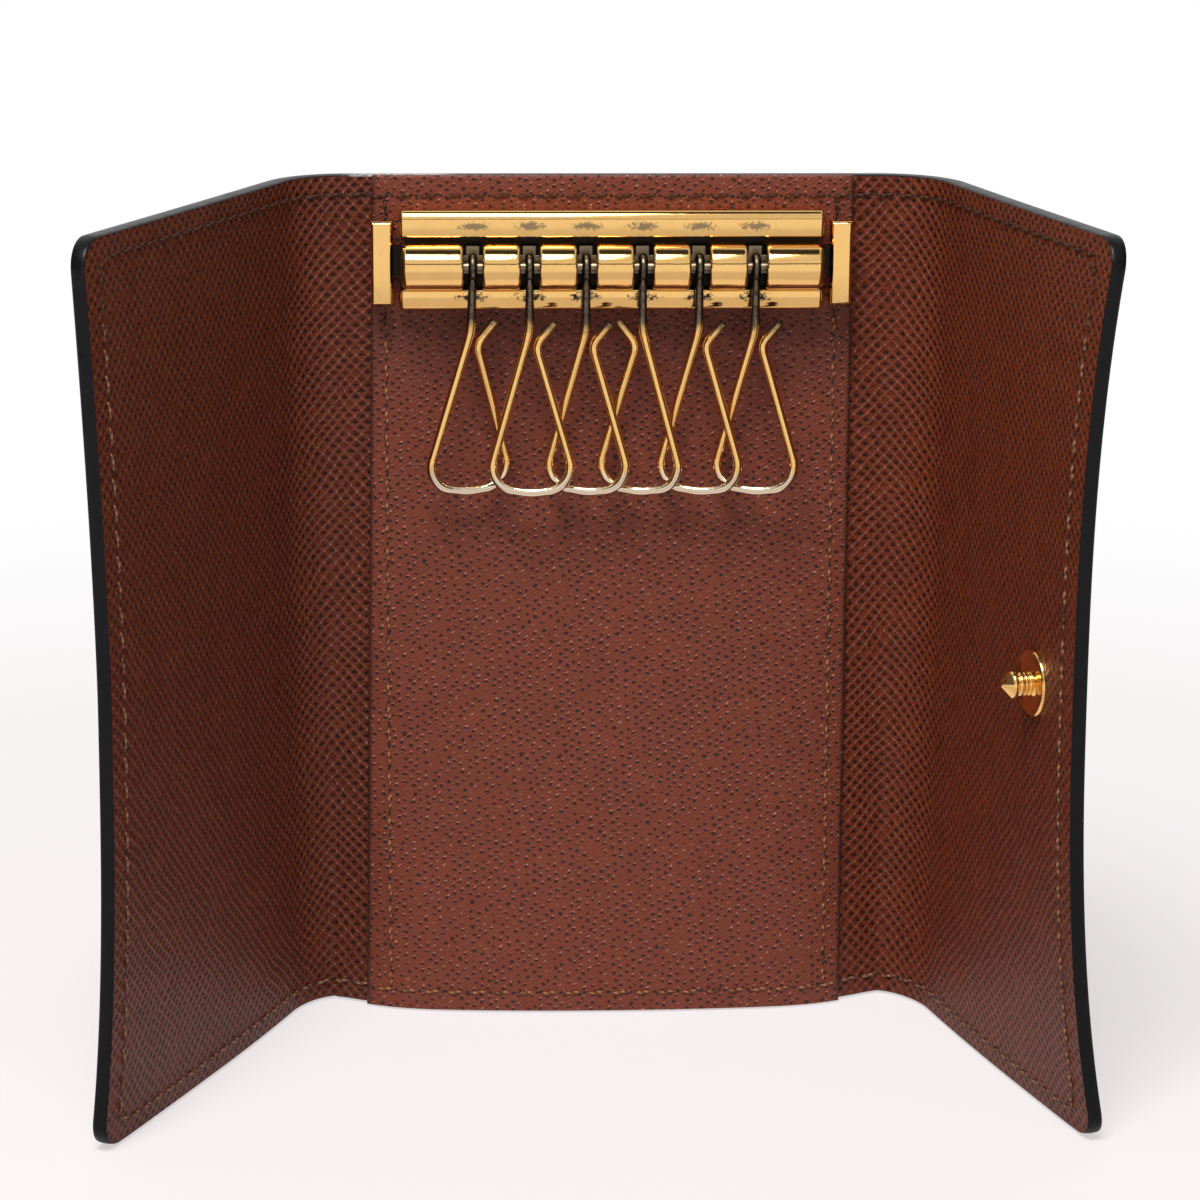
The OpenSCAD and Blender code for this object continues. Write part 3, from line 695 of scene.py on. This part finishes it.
def edge_bead(name, side, material):
    """Rounded painted edge round the free end of the sheet."""
    bm = bmesh.new()
    rings = [[bm.verts.new(sheet_point(side, s + ds * out, z + dz * out, v)) for out, v in bead_profile()]
             for s, z, ds, dz in edge_path(side)]
    join_rings(bm, rings, False)
    bmesh.ops.recalc_face_normals(bm, faces=bm.faces)
    return new_object(name, bm, material)


def centre_edges(name, material):
    """Painted edges along the top and the bottom of the centre sheet."""
    bm = bmesh.new()
    steps = 28
    for edge, sign in ((HEIGHT, 1.0), (0.0, -1.0)):
        rings = []
        for i in range(steps + 1):
            x = -HALF + 2 * HALF * i / steps
            places = [(v, edge + sign * out) for out, v in bead_profile()]
            rings.append([bm.verts.new(centre_point(x, v, z)) for v, z in places])
        join_rings(bm, rings, False)
    bmesh.ops.recalc_face_normals(bm, faces=bm.faces)
    return new_object(name, bm, material)


def centre_sheet(name, y, inset, material, thick=0.0):
    """Flat panel across the centre at depth y. With a thickness it gets rounded edges and sides."""
    bm = bmesh.new()
    layer = bm.loops.layers.uv.new("UVMap")
    uvs = {}
    low, high = inset, HEIGHT - inset
    rim = [(0.0, thick)]
    if thick:
        bevel = 0.25
        angles = [math.pi / 2 * i / 4.0 for i in range(5)]
        rim += [(bevel * (1 - math.cos(a)), bevel * (1 - math.sin(a))) for a in angles]

    def vert(x, z, back):
        leant = x
        if thick and x < 0:
            leant = x - (PANEL_TOP_IN - PANEL_LEAN * (1 - z / HEIGHT)) * (x / HALF)
        v = bm.verts.new(centre_point(leant, y + back, z))
        uvs[v] = (x, z)
        return v

    def ring(inset, back):
        x0, x1, z0, z1 = -HALF + inset, HALF - inset, low + inset, high - inset
        points = [(x0 + (x1 - x0) * i / COLUMNS, z0) for i in range(COLUMNS)]
        points += [(x1, z0 + (z1 - z0) * i / ROWS) for i in range(ROWS)]
        points += [(x1 - (x1 - x0) * i / COLUMNS, z1) for i in range(COLUMNS)]
        points += [(x0, z1 - (z1 - z0) * i / ROWS) for i in range(ROWS)]
        return [vert(x, z, back) for x, z in points]

    if thick:
        join_rings(bm, [ring(*step) for step in rim], True)
    x0, z0 = rim[-1][0] - HALF, low + rim[-1][0]
    wide, tall = -2 * x0, high - rim[-1][0] - z0
    grid = [[vert(x0 + wide * i / COLUMNS, z0 + tall * j / ROWS, 0.0) for j in range(ROWS + 1)]
            for i in range(COLUMNS + 1)]
    for a, b in zip(grid, grid[1:]):
        for j in range(ROWS):
            bm.faces.new([a[j], b[j], b[j + 1], a[j + 1]])
    for face in bm.faces:
        set_uv(face, layer, uvs)
    bmesh.ops.remove_doubles(bm, verts=bm.verts, dist=1e-7)
    if y > 0:
        bmesh.ops.reverse_faces(bm, faces=bm.faces)
    return new_object(name, bm, material)


# Stitches
def add_stitch(bm, layer, a, b, out):
    """One sewn thread between two needle holes: a round strand that dips into both."""
    steps, sides = 8, 8
    along = b - a
    length = along.length
    along.normalize()
    across = along.cross(out).normalized()
    width, high = THREAD_HALF * MM, THREAD_RISE * MM
    rings = []
    for i in range(steps + 1):
        t = i / steps
        rise = math.sin(math.pi * t) ** 0.45 if 0 < t < 1 else 0.0
        centre = a + along * (length * t) + out * (high * (rise - 0.45))
        r = width * (0.42 + 0.58 * math.sin(math.pi * t) ** 0.5) if 0 < t < 1 else width * 0.3
        angles = [2 * math.pi * k / sides for k in range(sides)]
        rings.append([bm.verts.new(centre + across * (r * math.cos(q)) + out * (r * 0.8 * math.sin(q)))
                      for q in angles])
    for i, (p, q) in enumerate(zip(rings, rings[1:])):
        for k in range(sides):
            face = bm.faces.new([p[k], p[(k + 1) % sides], q[(k + 1) % sides], q[k]])
            for loop, (u, v) in zip(face.loops, ((i, k), (i, k + 1), (i + 1, k + 1), (i + 1, k))):
                loop[layer].uv = (u / steps, v / sides)
    bm.faces.new(rings[0][::-1])
    bm.faces.new(rings[-1])


def add_hole(bm, point, along, out):
    """Dark dimple of a needle hole, as a shallow oval on the leather in the second material."""
    across = along.cross(out).normalized()
    size, lift, count = HOLE_SIZE * MM, 0.015 * MM, 10
    ring = []
    for k in range(count):
        a = 2 * math.pi * k / count
        place = point + along * (size * 1.15 * math.cos(a)) + across * (size * 0.8 * math.sin(a))
        ring.append(bm.verts.new(place + out * lift))
    face = bm.faces.new(ring)
    face.material_index = 1
    if face.normal.length > 0 and face.normal.dot(out) < 0:
        face.normal_flip()


def sew(name, lines, thread):
    """Rows of stitches through needle places given as (place, way along, way out), one pitch apart."""
    bm = bmesh.new()
    layer = bm.loops.layers.uv.new("UVMap")
    for line in lines:
        for (p, along, out), (q, _, next_out) in zip(line, line[1:]):
            aside = along.cross(out).normalized() * (SLANT * MM)
            step = (q - p).normalized() * (HOLE_GAP * MM)
            add_stitch(bm, layer, p + step + aside, q - step - aside, ((out + next_out) / 2).normalized())
        for p, along, out in line:
            add_hole(bm, p, along, out)
    return new_object(name, bm, thread, HOLE)


def side_row(side, v):
    """Needle places round the free end of one side, on the face at v."""
    total = total_length(side) - side["seam"]
    r = max(CORNER - SEAM, 1.2)
    length = total - r
    up = HEIGHT - 2 * SEAM - 2 * r
    arc = math.pi / 2 * r
    whole = 2 * length + 2 * arc + up
    count = int(round(whole / STITCH))

    def at(d):
        """s and z at d along the seam."""
        if d < length:
            return d, HEIGHT - SEAM
        d -= length
        if d < arc:
            a = d / r
            return total - r + r * math.sin(a), HEIGHT - SEAM - r + r * math.cos(a)
        d -= arc
        if d < up:
            return total, HEIGHT - SEAM - r - d
        d -= up
        if d < arc:
            a = d / r
            return total - r + r * math.cos(a), SEAM + r - r * math.sin(a)
        return total - r - (d - arc), SEAM

    line = []
    for i in range(count + 1):
        d = whole * i / count
        s, z = at(min(d, whole - 1e-6))
        p = sheet_point(side, s, z, v)
        ahead = sheet_point(side, *at(min(d + 0.05, whole)), v) - p
        along = ahead.normalized() if ahead.length > 1e-9 else line[-1][1]
        line.append((p, along, (p - sheet_point(side, s, z, 0.0)).normalized()))
    return line


def straight_row(a, b, y, out):
    """Needle places between two points (x, z) of the centre, at depth y."""
    length = math.hypot(b[0] - a[0], b[1] - a[1])
    count = max(1, int(round(length / STITCH)))
    along = Vector((b[0] - a[0], 0.0, b[1] - a[1])).normalized()
    line = []
    for i in range(count + 1):
        t = i / count
        x, z = a[0] + (b[0] - a[0]) * t, a[1] + (b[1] - a[1]) * t
        line.append((centre_point(x, y, z), along, Vector((0.0, out, 0.0))))
    return line


# Metal shapes
def mark_sharp(bm):
    """Keeps the edges that bend by more than SHARP out of the smooth shading."""
    for edge in bm.edges:
        edge.smooth = not (len(edge.link_faces) == 2 and edge.calc_face_angle(0.0) > SHARP)


def soften_edges(obj, width, segments, limit):
    """Rounds the edges that bend by more than limit degrees."""
    mod = obj.modifiers.new("soft_edges", "BEVEL")
    mod.width = width * MM
    mod.segments = segments
    mod.limit_method = "ANGLE"
    mod.angle_limit = math.radians(limit)
    mod.harden_normals = True


def metal_copy(node, material, body, bevel=0.0, shift=None, thicker=0.0):
    """The CAD node's own shape in a new finish, softened, moved, or with a thicker wire under its eye."""
    bm = bmesh.new()
    bm.from_mesh(NODES[node].data)
    bmesh.ops.remove_doubles(bm, verts=bm.verts, dist=2e-7)
    mark_sharp(bm)
    if shift is not None:
        bmesh.ops.translate(bm, verts=bm.verts, vec=shift)
    if thicker:
        eye_foot, soft = ROD_Z - 1.6, 1.5
        bm.normal_update()
        places = [(v, v.normal.copy()) for v in bm.verts]
        for v, way in places:
            v.co += way * (thicker * MM * min(1.0, max(0.0, (eye_foot - v.co.z / MM) / soft)))
    obj = new_object(node + "_look", bm, material)
    if bevel:
        soften_edges(obj, bevel, 3, 38)
    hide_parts(node)
    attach(obj, body)
    return obj


def soften_clip(node, ends, sides):
    """Rounds the edges of a clip's face, over ends at its top and foot and over sides along it."""
    obj = metal_copy(node, GOLD, "centre")
    low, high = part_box(node)
    bm = bmesh.new()
    bm.from_mesh(obj.data)
    bmesh.ops.dissolve_limit(bm, angle_limit=math.radians(1), verts=bm.verts, edges=bm.edges)
    near = 0.02 * MM

    def on_face(vert):
        return abs(vert.co.y - low[1]) < near

    def at_side(vert):
        return min(abs(vert.co.x - low[0]), abs(vert.co.x - high[0])) < near

    for along, offset in ((False, ends), (True, sides)):
        edges = [e for e in bm.edges if all(on_face(v) for v in e.verts)]
        edges = [e for e in edges if all(at_side(v) for v in e.verts) == along]
        edges = [e for e in edges if e.calc_face_angle(0.0) > math.radians(60)]
        bmesh.ops.bevel(bm, geom=edges, offset=offset * MM, segments=5, profile=0.5, affect="EDGES")
    for face in bm.faces:
        face.smooth = True
    mark_sharp(bm)
    bm.to_mesh(obj.data)
    bm.free()


def ring_at(bm, profile, centre, x, inset):
    """Profile points (y, z) at x, drawn in by inset towards the centre (y, z) on both axes."""
    cy, cz = centre
    depth = max(abs(y - cy) for y, _ in profile)
    rise = max(abs(z - cz) for _, z in profile)
    out = []
    for y, z in profile:
        py = cy + (y - cy) * (1.0 - inset / depth)
        pz = cz + (z - cz) * (1.0 - inset / rise)
        out.append(bm.verts.new(Vector((x, py, pz)) * MM))
    return out


def arc(cy, cz, r, start, end, count):
    """Points on a circle in the YZ plane, with angles from the front (0) to the top (90)."""
    angles = [math.radians(start + (end - start) * i / count) for i in range(count + 1)]
    return [(cy - r * math.cos(a), cz + r * math.sin(a)) for a in angles]


def add_rail(bm, profile, centre):
    """Solid bar along X with a closed profile and softly rounded ends."""
    half, corner, steps = BAR_HALF + 0.2, 0.5, 6
    turn = [math.pi / 2 * i / steps for i in range(steps + 1)]
    left = [(-half + corner * (1 - math.cos(a)), corner * (1 - math.sin(a))) for a in turn]
    stations = left + [(-x, inset) for x, inset in reversed(left)]
    rings = [ring_at(bm, profile, centre, x, inset) for x, inset in stations]
    join_rings(bm, rings, True)
    bm.faces.new(rings[0][::-1])
    bm.faces.new(rings[-1])


def add_shell(bm, profile, centre, stations):
    """Sheet-metal channel along X: stations (x, inset) run round its wall and back inside."""
    rings = [ring_at(bm, profile, centre, x, inset) for x, inset in stations]
    join_rings(bm, rings + rings[:1], False)
    bm.faces.new([ring[0] for ring in rings])
    bm.faces.new([ring[-1] for ring in rings][::-1])


def add_box(bm, low, high):
    for v in bmesh.ops.create_cube(bm, size=1.0)["verts"]:
        v.co = Vector([(low[i] if v.co[i] < 0 else high[i]) * MM for i in range(3)])


def metal_object(name, bm, material, node, bevel=0.0, body="centre"):
    bmesh.ops.recalc_face_normals(bm, faces=bm.faces)
    mark_sharp(bm)
    obj = new_object(name, bm, material)
    if bevel:
        soften_edges(obj, bevel, 2, 50)
    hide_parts(node)
    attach(obj, body)


def make_bar_plate():
    """Plate, tabs and the two rails. Each rail is rounded on the side away from the barrel."""
    back = -FACE - PATCH
    thick, rim, tab_depth, tab_half = 0.8, 0.3, 1.5, 1.7
    rail_high = 2.6
    bm = bmesh.new()
    add_box(bm, (-BAR_HALF + rim, back - thick, BAR_LOW + rim), (BAR_HALF - rim, back, BAR_HIGH - rim))
    add_box(bm, (-TAB_END, back - tab_depth, BAR_MID - tab_half), (TAB_END, back, BAR_MID + tab_half))
    # upper rail, from its foot over the sharp lower edge to the round top
    front, low, high = back - 3.6, BAR_HIGH - rail_high, BAR_HIGH + 0.45
    profile = [(back, low), (front + 0.3, low)] + arc(front + 0.25, low + 0.25, 0.25, -60, -12, 3)
    profile += arc(front + 1.42, high - 1.3, 1.42, 4, 22, 4) + arc(front + 1.1, high - 1.0, 1.0, 30, 90, 8)
    profile += [(back, high)]
    add_rail(bm, profile, (back, (low + high) / 2))
    # lower rail, from its round foot to the sharp upper edge
    front, low, high = back - 2.9, BAR_LOW, BAR_LOW + rail_high
    profile = [(back, low)] + arc(front + 1.2, low + 1.1, 1.1, -90, -32, 7)
    profile += arc(front + 2.35, low + 1.75, 2.35, -26, 8, 6) + arc(front + 0.3, high - 0.25, 0.25, 20, 90, 3)
    profile += [(back, high)]
    add_rail(bm, profile, (back, (low + high) / 2))
    metal_object("bar_plate_look", bm, GOLD_RAIL, "bar_plate", 0.08)


def make_barrel():
    """Rolled channel cut into seven lengths by the hooks' slots, with lips turned in at each slot."""
    back, wall, lip = -FACE - PATCH - 0.85, 0.45, 0.5
    # round of the two outer ends, and how deep the closed end's plate reaches in and along
    end, plate_deep, plate_thick = 0.7, 2.2, 0.5
    round_front = arc(ROD_Y, ROD_Z, BARREL_R, -90, 90, 36)
    profile = [(back, ROD_Z - BARREL_R)] + round_front + [(back, ROD_Z + BARREL_R)]
    slots = [FIRST_HOOK + i * HOOK_PITCH for i in range(HOOKS)]
    starts = [-BAR_HALF] + [x + SLOT_HALF for x in slots]
    ends = [x - SLOT_HALF for x in slots] + [BAR_HALF]
    turn = [math.pi * i / 12.0 for i in range(13)]
    rolled = [(lip * (1 - math.sin(a)), wall / 2 * (1 + math.cos(a))) for a in turn]
    closed = [(plate_thick, plate_deep), (0.0, plate_deep), (0.0, end)]
    closed += [(end * (1 - math.cos(a / 2)), end * (1 - math.sin(a / 2))) for a in turn[1:]]
    bm = bmesh.new()
    for first, last in zip(starts, ends):
        # an outer end is closed, and an end at a slot is rolled round its wall's edge
        left = closed if first == -BAR_HALF else rolled
        right = closed if last == BAR_HALF else rolled
        path = [(first + along, inset) for along, inset in left]
        path += [(last - along, inset) for along, inset in reversed(right)]
        if last == BAR_HALF:
            path += [(last - plate_thick, wall)]
        if first == -BAR_HALF:
            path += [(first + plate_thick, wall)]
        add_shell(bm, profile, (back, ROD_Z), path)
    metal_object("bar_barrel_look", bm, GOLD_BARREL, "bar_barrel")


def wing_place(name, along, z, outside, soft=True):
    """Point on the soft or the flat wing's face, along from the CAD fold's end, and the way out of it."""
    side = SIDES[name]
    if not soft:
        side = dict(side, top=(0.0, 1.0), foot=(0.0, 1.0), belly=0.0)
    s = side["run"] + fold_length(side) + along - side["early"]
    face = sheet_point(side, s, z, outside)
    return face, (face - sheet_point(side, s, z, 0.0)).normalized()


def wing_shift(name, cad, seen):
    """Way from a place on the CAD wing's outside to its place on the soft wing."""
    return wing_place(name, *seen, FACE)[0] - wing_place(name, *cad, FACE, soft=False)[0]


def make_stud():
    """Turned stud: dished disc with a round rim, ringed neck and pointed head, as (radius, height)."""
    rim = [math.pi / 12 * i for i in range(9)]
    profile = [(3.55, -0.1), (3.75, 0.1)]
    profile += [(3.4 + 0.35 * math.cos(a), 0.4 + 0.35 * math.sin(a)) for a in rim]
    profile += [(2.95, 0.6), (2.2, 0.48), (1.75, 0.5), (1.55, 0.62)]
    ring = (-1.3, -0.7, 0.0, 0.7, 1.3)
    for middle in (0.95, 1.45, 1.95):
        profile += [(1.3 + 0.1 * math.cos(a), middle + 0.2 * math.sin(a)) for a in ring]
    profile += [(1.22, 2.3), (1.38, 2.36), (1.54, 2.54), (1.6, 2.78), (1.54, 3.0), (1.36, 3.2)]
    profile += [(0.3, 4.02), (0.16, 4.1)]
    tip_height, count = 4.13, 64
    origin, out = wing_place("right", *STUD, -FACE)
    across = out.cross(Vector((0.0, 0.0, 1.0))).normalized()
    rise = across.cross(out)
    ways = [across * math.cos(2 * math.pi * k / count) + rise * math.sin(2 * math.pi * k / count)
            for k in range(count)]
    bm = bmesh.new()
    rings = [[bm.verts.new(origin + (out * high + way * radius) * MM) for way in ways]
             for radius, high in profile]
    tip = bm.verts.new(origin + out * (tip_height * MM))
    join_rings(bm, rings, True)
    for k in range(count):
        bm.faces.new([rings[-1][k], rings[-1][(k + 1) % count], tip])
    bm.faces.new(rings[0])
    metal_object("snap_stud_look", bm, GOLD, "snap_stud", 0.0, "right_wing")


# Build
def blend_side(obj, name):
    """Bakes the piece's placement into its mesh; the place where the wing turns flat is worked out but not
    used.
    """
    side = SIDES[name]
    x, y = wing_point(side, side["soft"])
    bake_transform(obj)


def make_side(name, lining):
    side = SIDES[name]
    inner = sheet_face(name + "_lining_face", side, -FACE, lining)
    outer = sheet_face(name + "_outer_face", side, FACE, OUTER)
    bead = edge_bead(name + "_painted_edge", side, EDGE)
    rows = sew(name + "_stitches", [side_row(side, -FACE), side_row(side, FACE)], WING_THREAD)
    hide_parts(name + "_fold_lining", name + "_wing_lining", name + "_wing_board")
    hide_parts(name + "_fold_outer", name + "_wing_outer")
    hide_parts(name + "_wing_edge")
    for piece in (inner, outer, bead, rows):
        blend_side(piece, name)


def make_centre():
    panel_y = -FACE - PATCH
    panel = centre_sheet("centre_panel", panel_y, 0.0, PANEL, thick=PATCH + 0.1)
    back = centre_sheet("centre_back", FACE, FACE_INSET, OUTER)
    front = centre_sheet("centre_front", -FACE, FACE_INSET, LEFT_LINING)
    edges = centre_edges("centre_painted_edges", EDGE)
    low, high = SEAM, HEIGHT - SEAM
    seams = []
    for y, out in ((panel_y, -1.0), (FACE, 1.0)):
        for z in (high, low):
            seams.append(straight_row((-HALF, z), (HALF, z), y, out))
        for hand in (-1, 1):
            seams.append(straight_row((hand * SIDE_SEAM_FOOT, low), (hand * SIDE_SEAM_TOP, high), y, out))
    rows = sew("centre_stitches", seams, THREAD)
    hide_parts("centre_patch")
    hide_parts("centre_outer", "centre_board")
    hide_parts("centre_lining")
    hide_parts("centre_edge")
    for piece in (panel, back, front, edges, rows):
        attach(piece, "centre")


make_camera()

LEFT_LINING = leather("left_lining", (0.1, 0.0155, 0.0047), (0.155, 0.03, 0.01), PIT, 45.0, CROSSED)
RIGHT_LINING = leather("right_lining", (0.12, 0.0175, 0.0045), (0.185, 0.033, 0.009), PIT, -45.0, CROSSED)
PANEL = leather("panel_leather", (0.145, 0.028, 0.0125), (0.195, 0.041, 0.019), PANEL_PIT, 33.0, PEBBLED)
OUTER = leather("outer_leather", (0.07, 0.024, 0.011), (0.125, 0.045, 0.021), OUTER_PIT, 42.0, CROSSED)
EDGE = edge_paint()
THREAD = thread_paint("thread", (0.15, 0.055, 0.022), (0.37, 0.16, 0.07))
WING_THREAD = thread_paint("wing_thread", (0.14, 0.06, 0.032), (0.3, 0.15, 0.085))
HOLE = hole_paint()
GOLD = gold("gold_plate")
GOLD_RAIL = gold("gold_rails", "rails")
GOLD_BARREL = gold("gold_barrel", "barrel")
GOLD_HOOK = gold("gold_hooks", "hooks")
WORN = dull_metal("worn_brass", (0.1, 0.075, 0.045), (0.5, 0.38, 0.24), 0.25)
STEEL = dull_metal("spring_steel", (0.4, 0.38, 0.35), (0.62, 0.6, 0.56), 0.3)

make_side("left", LEFT_LINING)
make_side("right", RIGHT_LINING)
make_centre()
make_bar_plate()
make_barrel()
for node in ("left_clip", "right_clip"):
    soften_clip(node, ends=0.25, sides=0.42)
metal_copy("hook_rod", WORN, "centre")
metal_copy("leaf_spring", WORN, "centre", bevel=0.05)
for i in range(1, HOOKS + 1):
    metal_copy("hook_%d" % i, GOLD_HOOK, "hook_%d_body" % i, thicker=0.09)
make_stud()
metal_copy("snap_cap", GOLD, "right_wing", shift=wing_shift("right", CAD_STUD, STUD))
socket_shift = wing_shift("left", CAD_SOCKET, SOCKET)
metal_copy("snap_socket", GOLD, "left_wing", shift=socket_shift)
metal_copy("snap_spring", STEEL, "left_wing", shift=socket_shift)
for node in ("snap_backing", "left_clip_backing", "right_clip_backing"):
    NODES[node].data.materials.clear()
    NODES[node].data.materials.append(STEEL)

# Floor, lights and camera settings. In the floor, near and far are distances from the middle in metres.
FLOOR_DARK, FLOOR_LIGHT = (0.9, 0.85, 0.86), (0.92, 0.875, 0.88)
FLOOR_WHITE = (0.98, 0.93, 0.935)
FLOOR_FADE, FLOOR_SHARE = (0.05, 0.3), 0.6
FLOOR_HALF, FLOOR_GAP = 4000.0, 0.2
# Strength of the floor's white in mirrors, near the case and from the middle distance on
MIRROR_NEAR, MIRROR_MIDDLE = 1.0, 0.6
NEAR_FADE, MIDDLE_FADE = (0.055, 0.07), (0.07, 0.5)
# Height of the direction and brightness there, from the horizon up
WALLS = (
    (0.0, 1.0), (0.31, 1.0), (0.34, 0.03), (0.39, 0.03), (0.43, 0.9), (0.7, 0.75), (0.9, 0.75), (0.96, 0.03),
)
BACK_WALL, SIDE_WALL, DIM = 0.8, 0.12, 0.48
KEY_PLACE, KEY_AIM = (-120.0, -420.0, 800.0), (0.0, 0.0, 50.0)
KEY_SIZE, KEY_POWER = 340.0, 7.4


def make_floor():
    """Pale table that keeps the shadow near the case and turns plain white further away."""
    n = Paint("floor")
    place = n.coords("Object")
    x, y, _ = n.split(place)
    grain, _ = n.noise(place, 14.0)
    n.set(Base_Color=n.mix(grain, FLOOR_DARK, FLOOR_LIGHT), Roughness=0.7, Specular_IOR_Level=0.2)
    far = n.length(x, y)
    faded = n.ramp(far, *FLOOR_FADE)
    white = n.new("Emission")
    n.link(n.mix(faded, FLOOR_WHITE, WHITE), white.inputs[0])
    mirrored = n.blend(n.ramp(far, *NEAR_FADE), MIRROR_NEAR, MIRROR_MIDDLE)
    mirrored = n.blend(n.ramp(far, *MIDDLE_FADE), mirrored, 1.0)
    path = n.new("LightPath").outputs
    n.link(n.blend(path["Is Camera Ray"], mirrored, 1.0), white.inputs[1])
    # the white shows to the camera, in mirrors and through glass, and lights nothing
    seen = n.math("MAXIMUM", path["Is Camera Ray"], path["Is Glossy Ray"])
    seen = n.math("MAXIMUM", seen, path["Is Transmission Ray"])
    share = n.math("MULTIPLY_ADD", faded, 1.0 - FLOOR_SHARE, FLOOR_SHARE)
    both = n.new("MixShader")
    n.link(n.times(share, seen), both.inputs[0])
    n.link(n.bsdf.outputs[0], both.inputs[1])
    n.link(white.outputs[0], both.inputs[2])
    n.link(both.outputs[0], n.out.inputs[0])
    bm = bmesh.new()
    bmesh.ops.create_grid(bm, x_segments=8, y_segments=8, size=FLOOR_HALF * MM)
    floor = new_object("floor", bm, n.material)
    floor.location.z = -FLOOR_GAP * MM
    floor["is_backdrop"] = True


def make_key_light():
    data = bpy.data.lights.new("key", "AREA")
    data.size = KEY_SIZE * MM
    data.energy = KEY_POWER
    obj = bpy.data.objects.new("key", data)
    bpy.context.scene.collection.objects.link(obj)
    obj.location = Vector(KEY_PLACE) * MM
    obj.rotation_mode = "QUATERNION"
    way = Vector(KEY_AIM) - Vector(KEY_PLACE)
    obj.rotation_quaternion = way.to_track_quat("-Z", "Y")


def make_world():
    """White studio. In front of the case its brightness follows WALLS, from the horizon up."""
    world = bpy.data.worlds.new("world")
    bpy.context.scene.world = world
    world.use_nodes = True
    n = Nodes(world.node_tree)
    out = n.new("OutputWorld")
    sky = n.new("Background")
    n.link(sky.outputs[0], out.inputs[0])
    x, y, z = n.split(n.coords("Generated"))
    level = WALLS[0][1]
    for (below, _), (above, value) in zip(WALLS, WALLS[1:]):
        level = n.blend(n.ramp(z, below, above), level, value)
    level = n.blend(n.ramp(y, 0.1, 0.4), level, BACK_WALL)
    level = n.blend(n.ramp(n.math("ABSOLUTE", x), 0.45, 0.75), level, SIDE_WALL)
    path = n.new("LightPath").outputs
    level = n.times(level, n.blend(path["Is Diffuse Ray"], 1.0, DIM))
    n.link(n.blend(path["Is Camera Ray"], level, 1.0), sky.inputs["Strength"])
    n.link(WHITE, sky.inputs["Color"])


make_floor()
make_world()
make_key_light()
scene = bpy.context.scene
scene.view_settings.view_transform = "Standard"
scene.view_settings.look = "None"
scene.render.film_transparent = False

boxes = {"cad": CAD_BOX, "visual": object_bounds()}
{name: [list(corner) for corner in box] for name, box in boxes.items()}
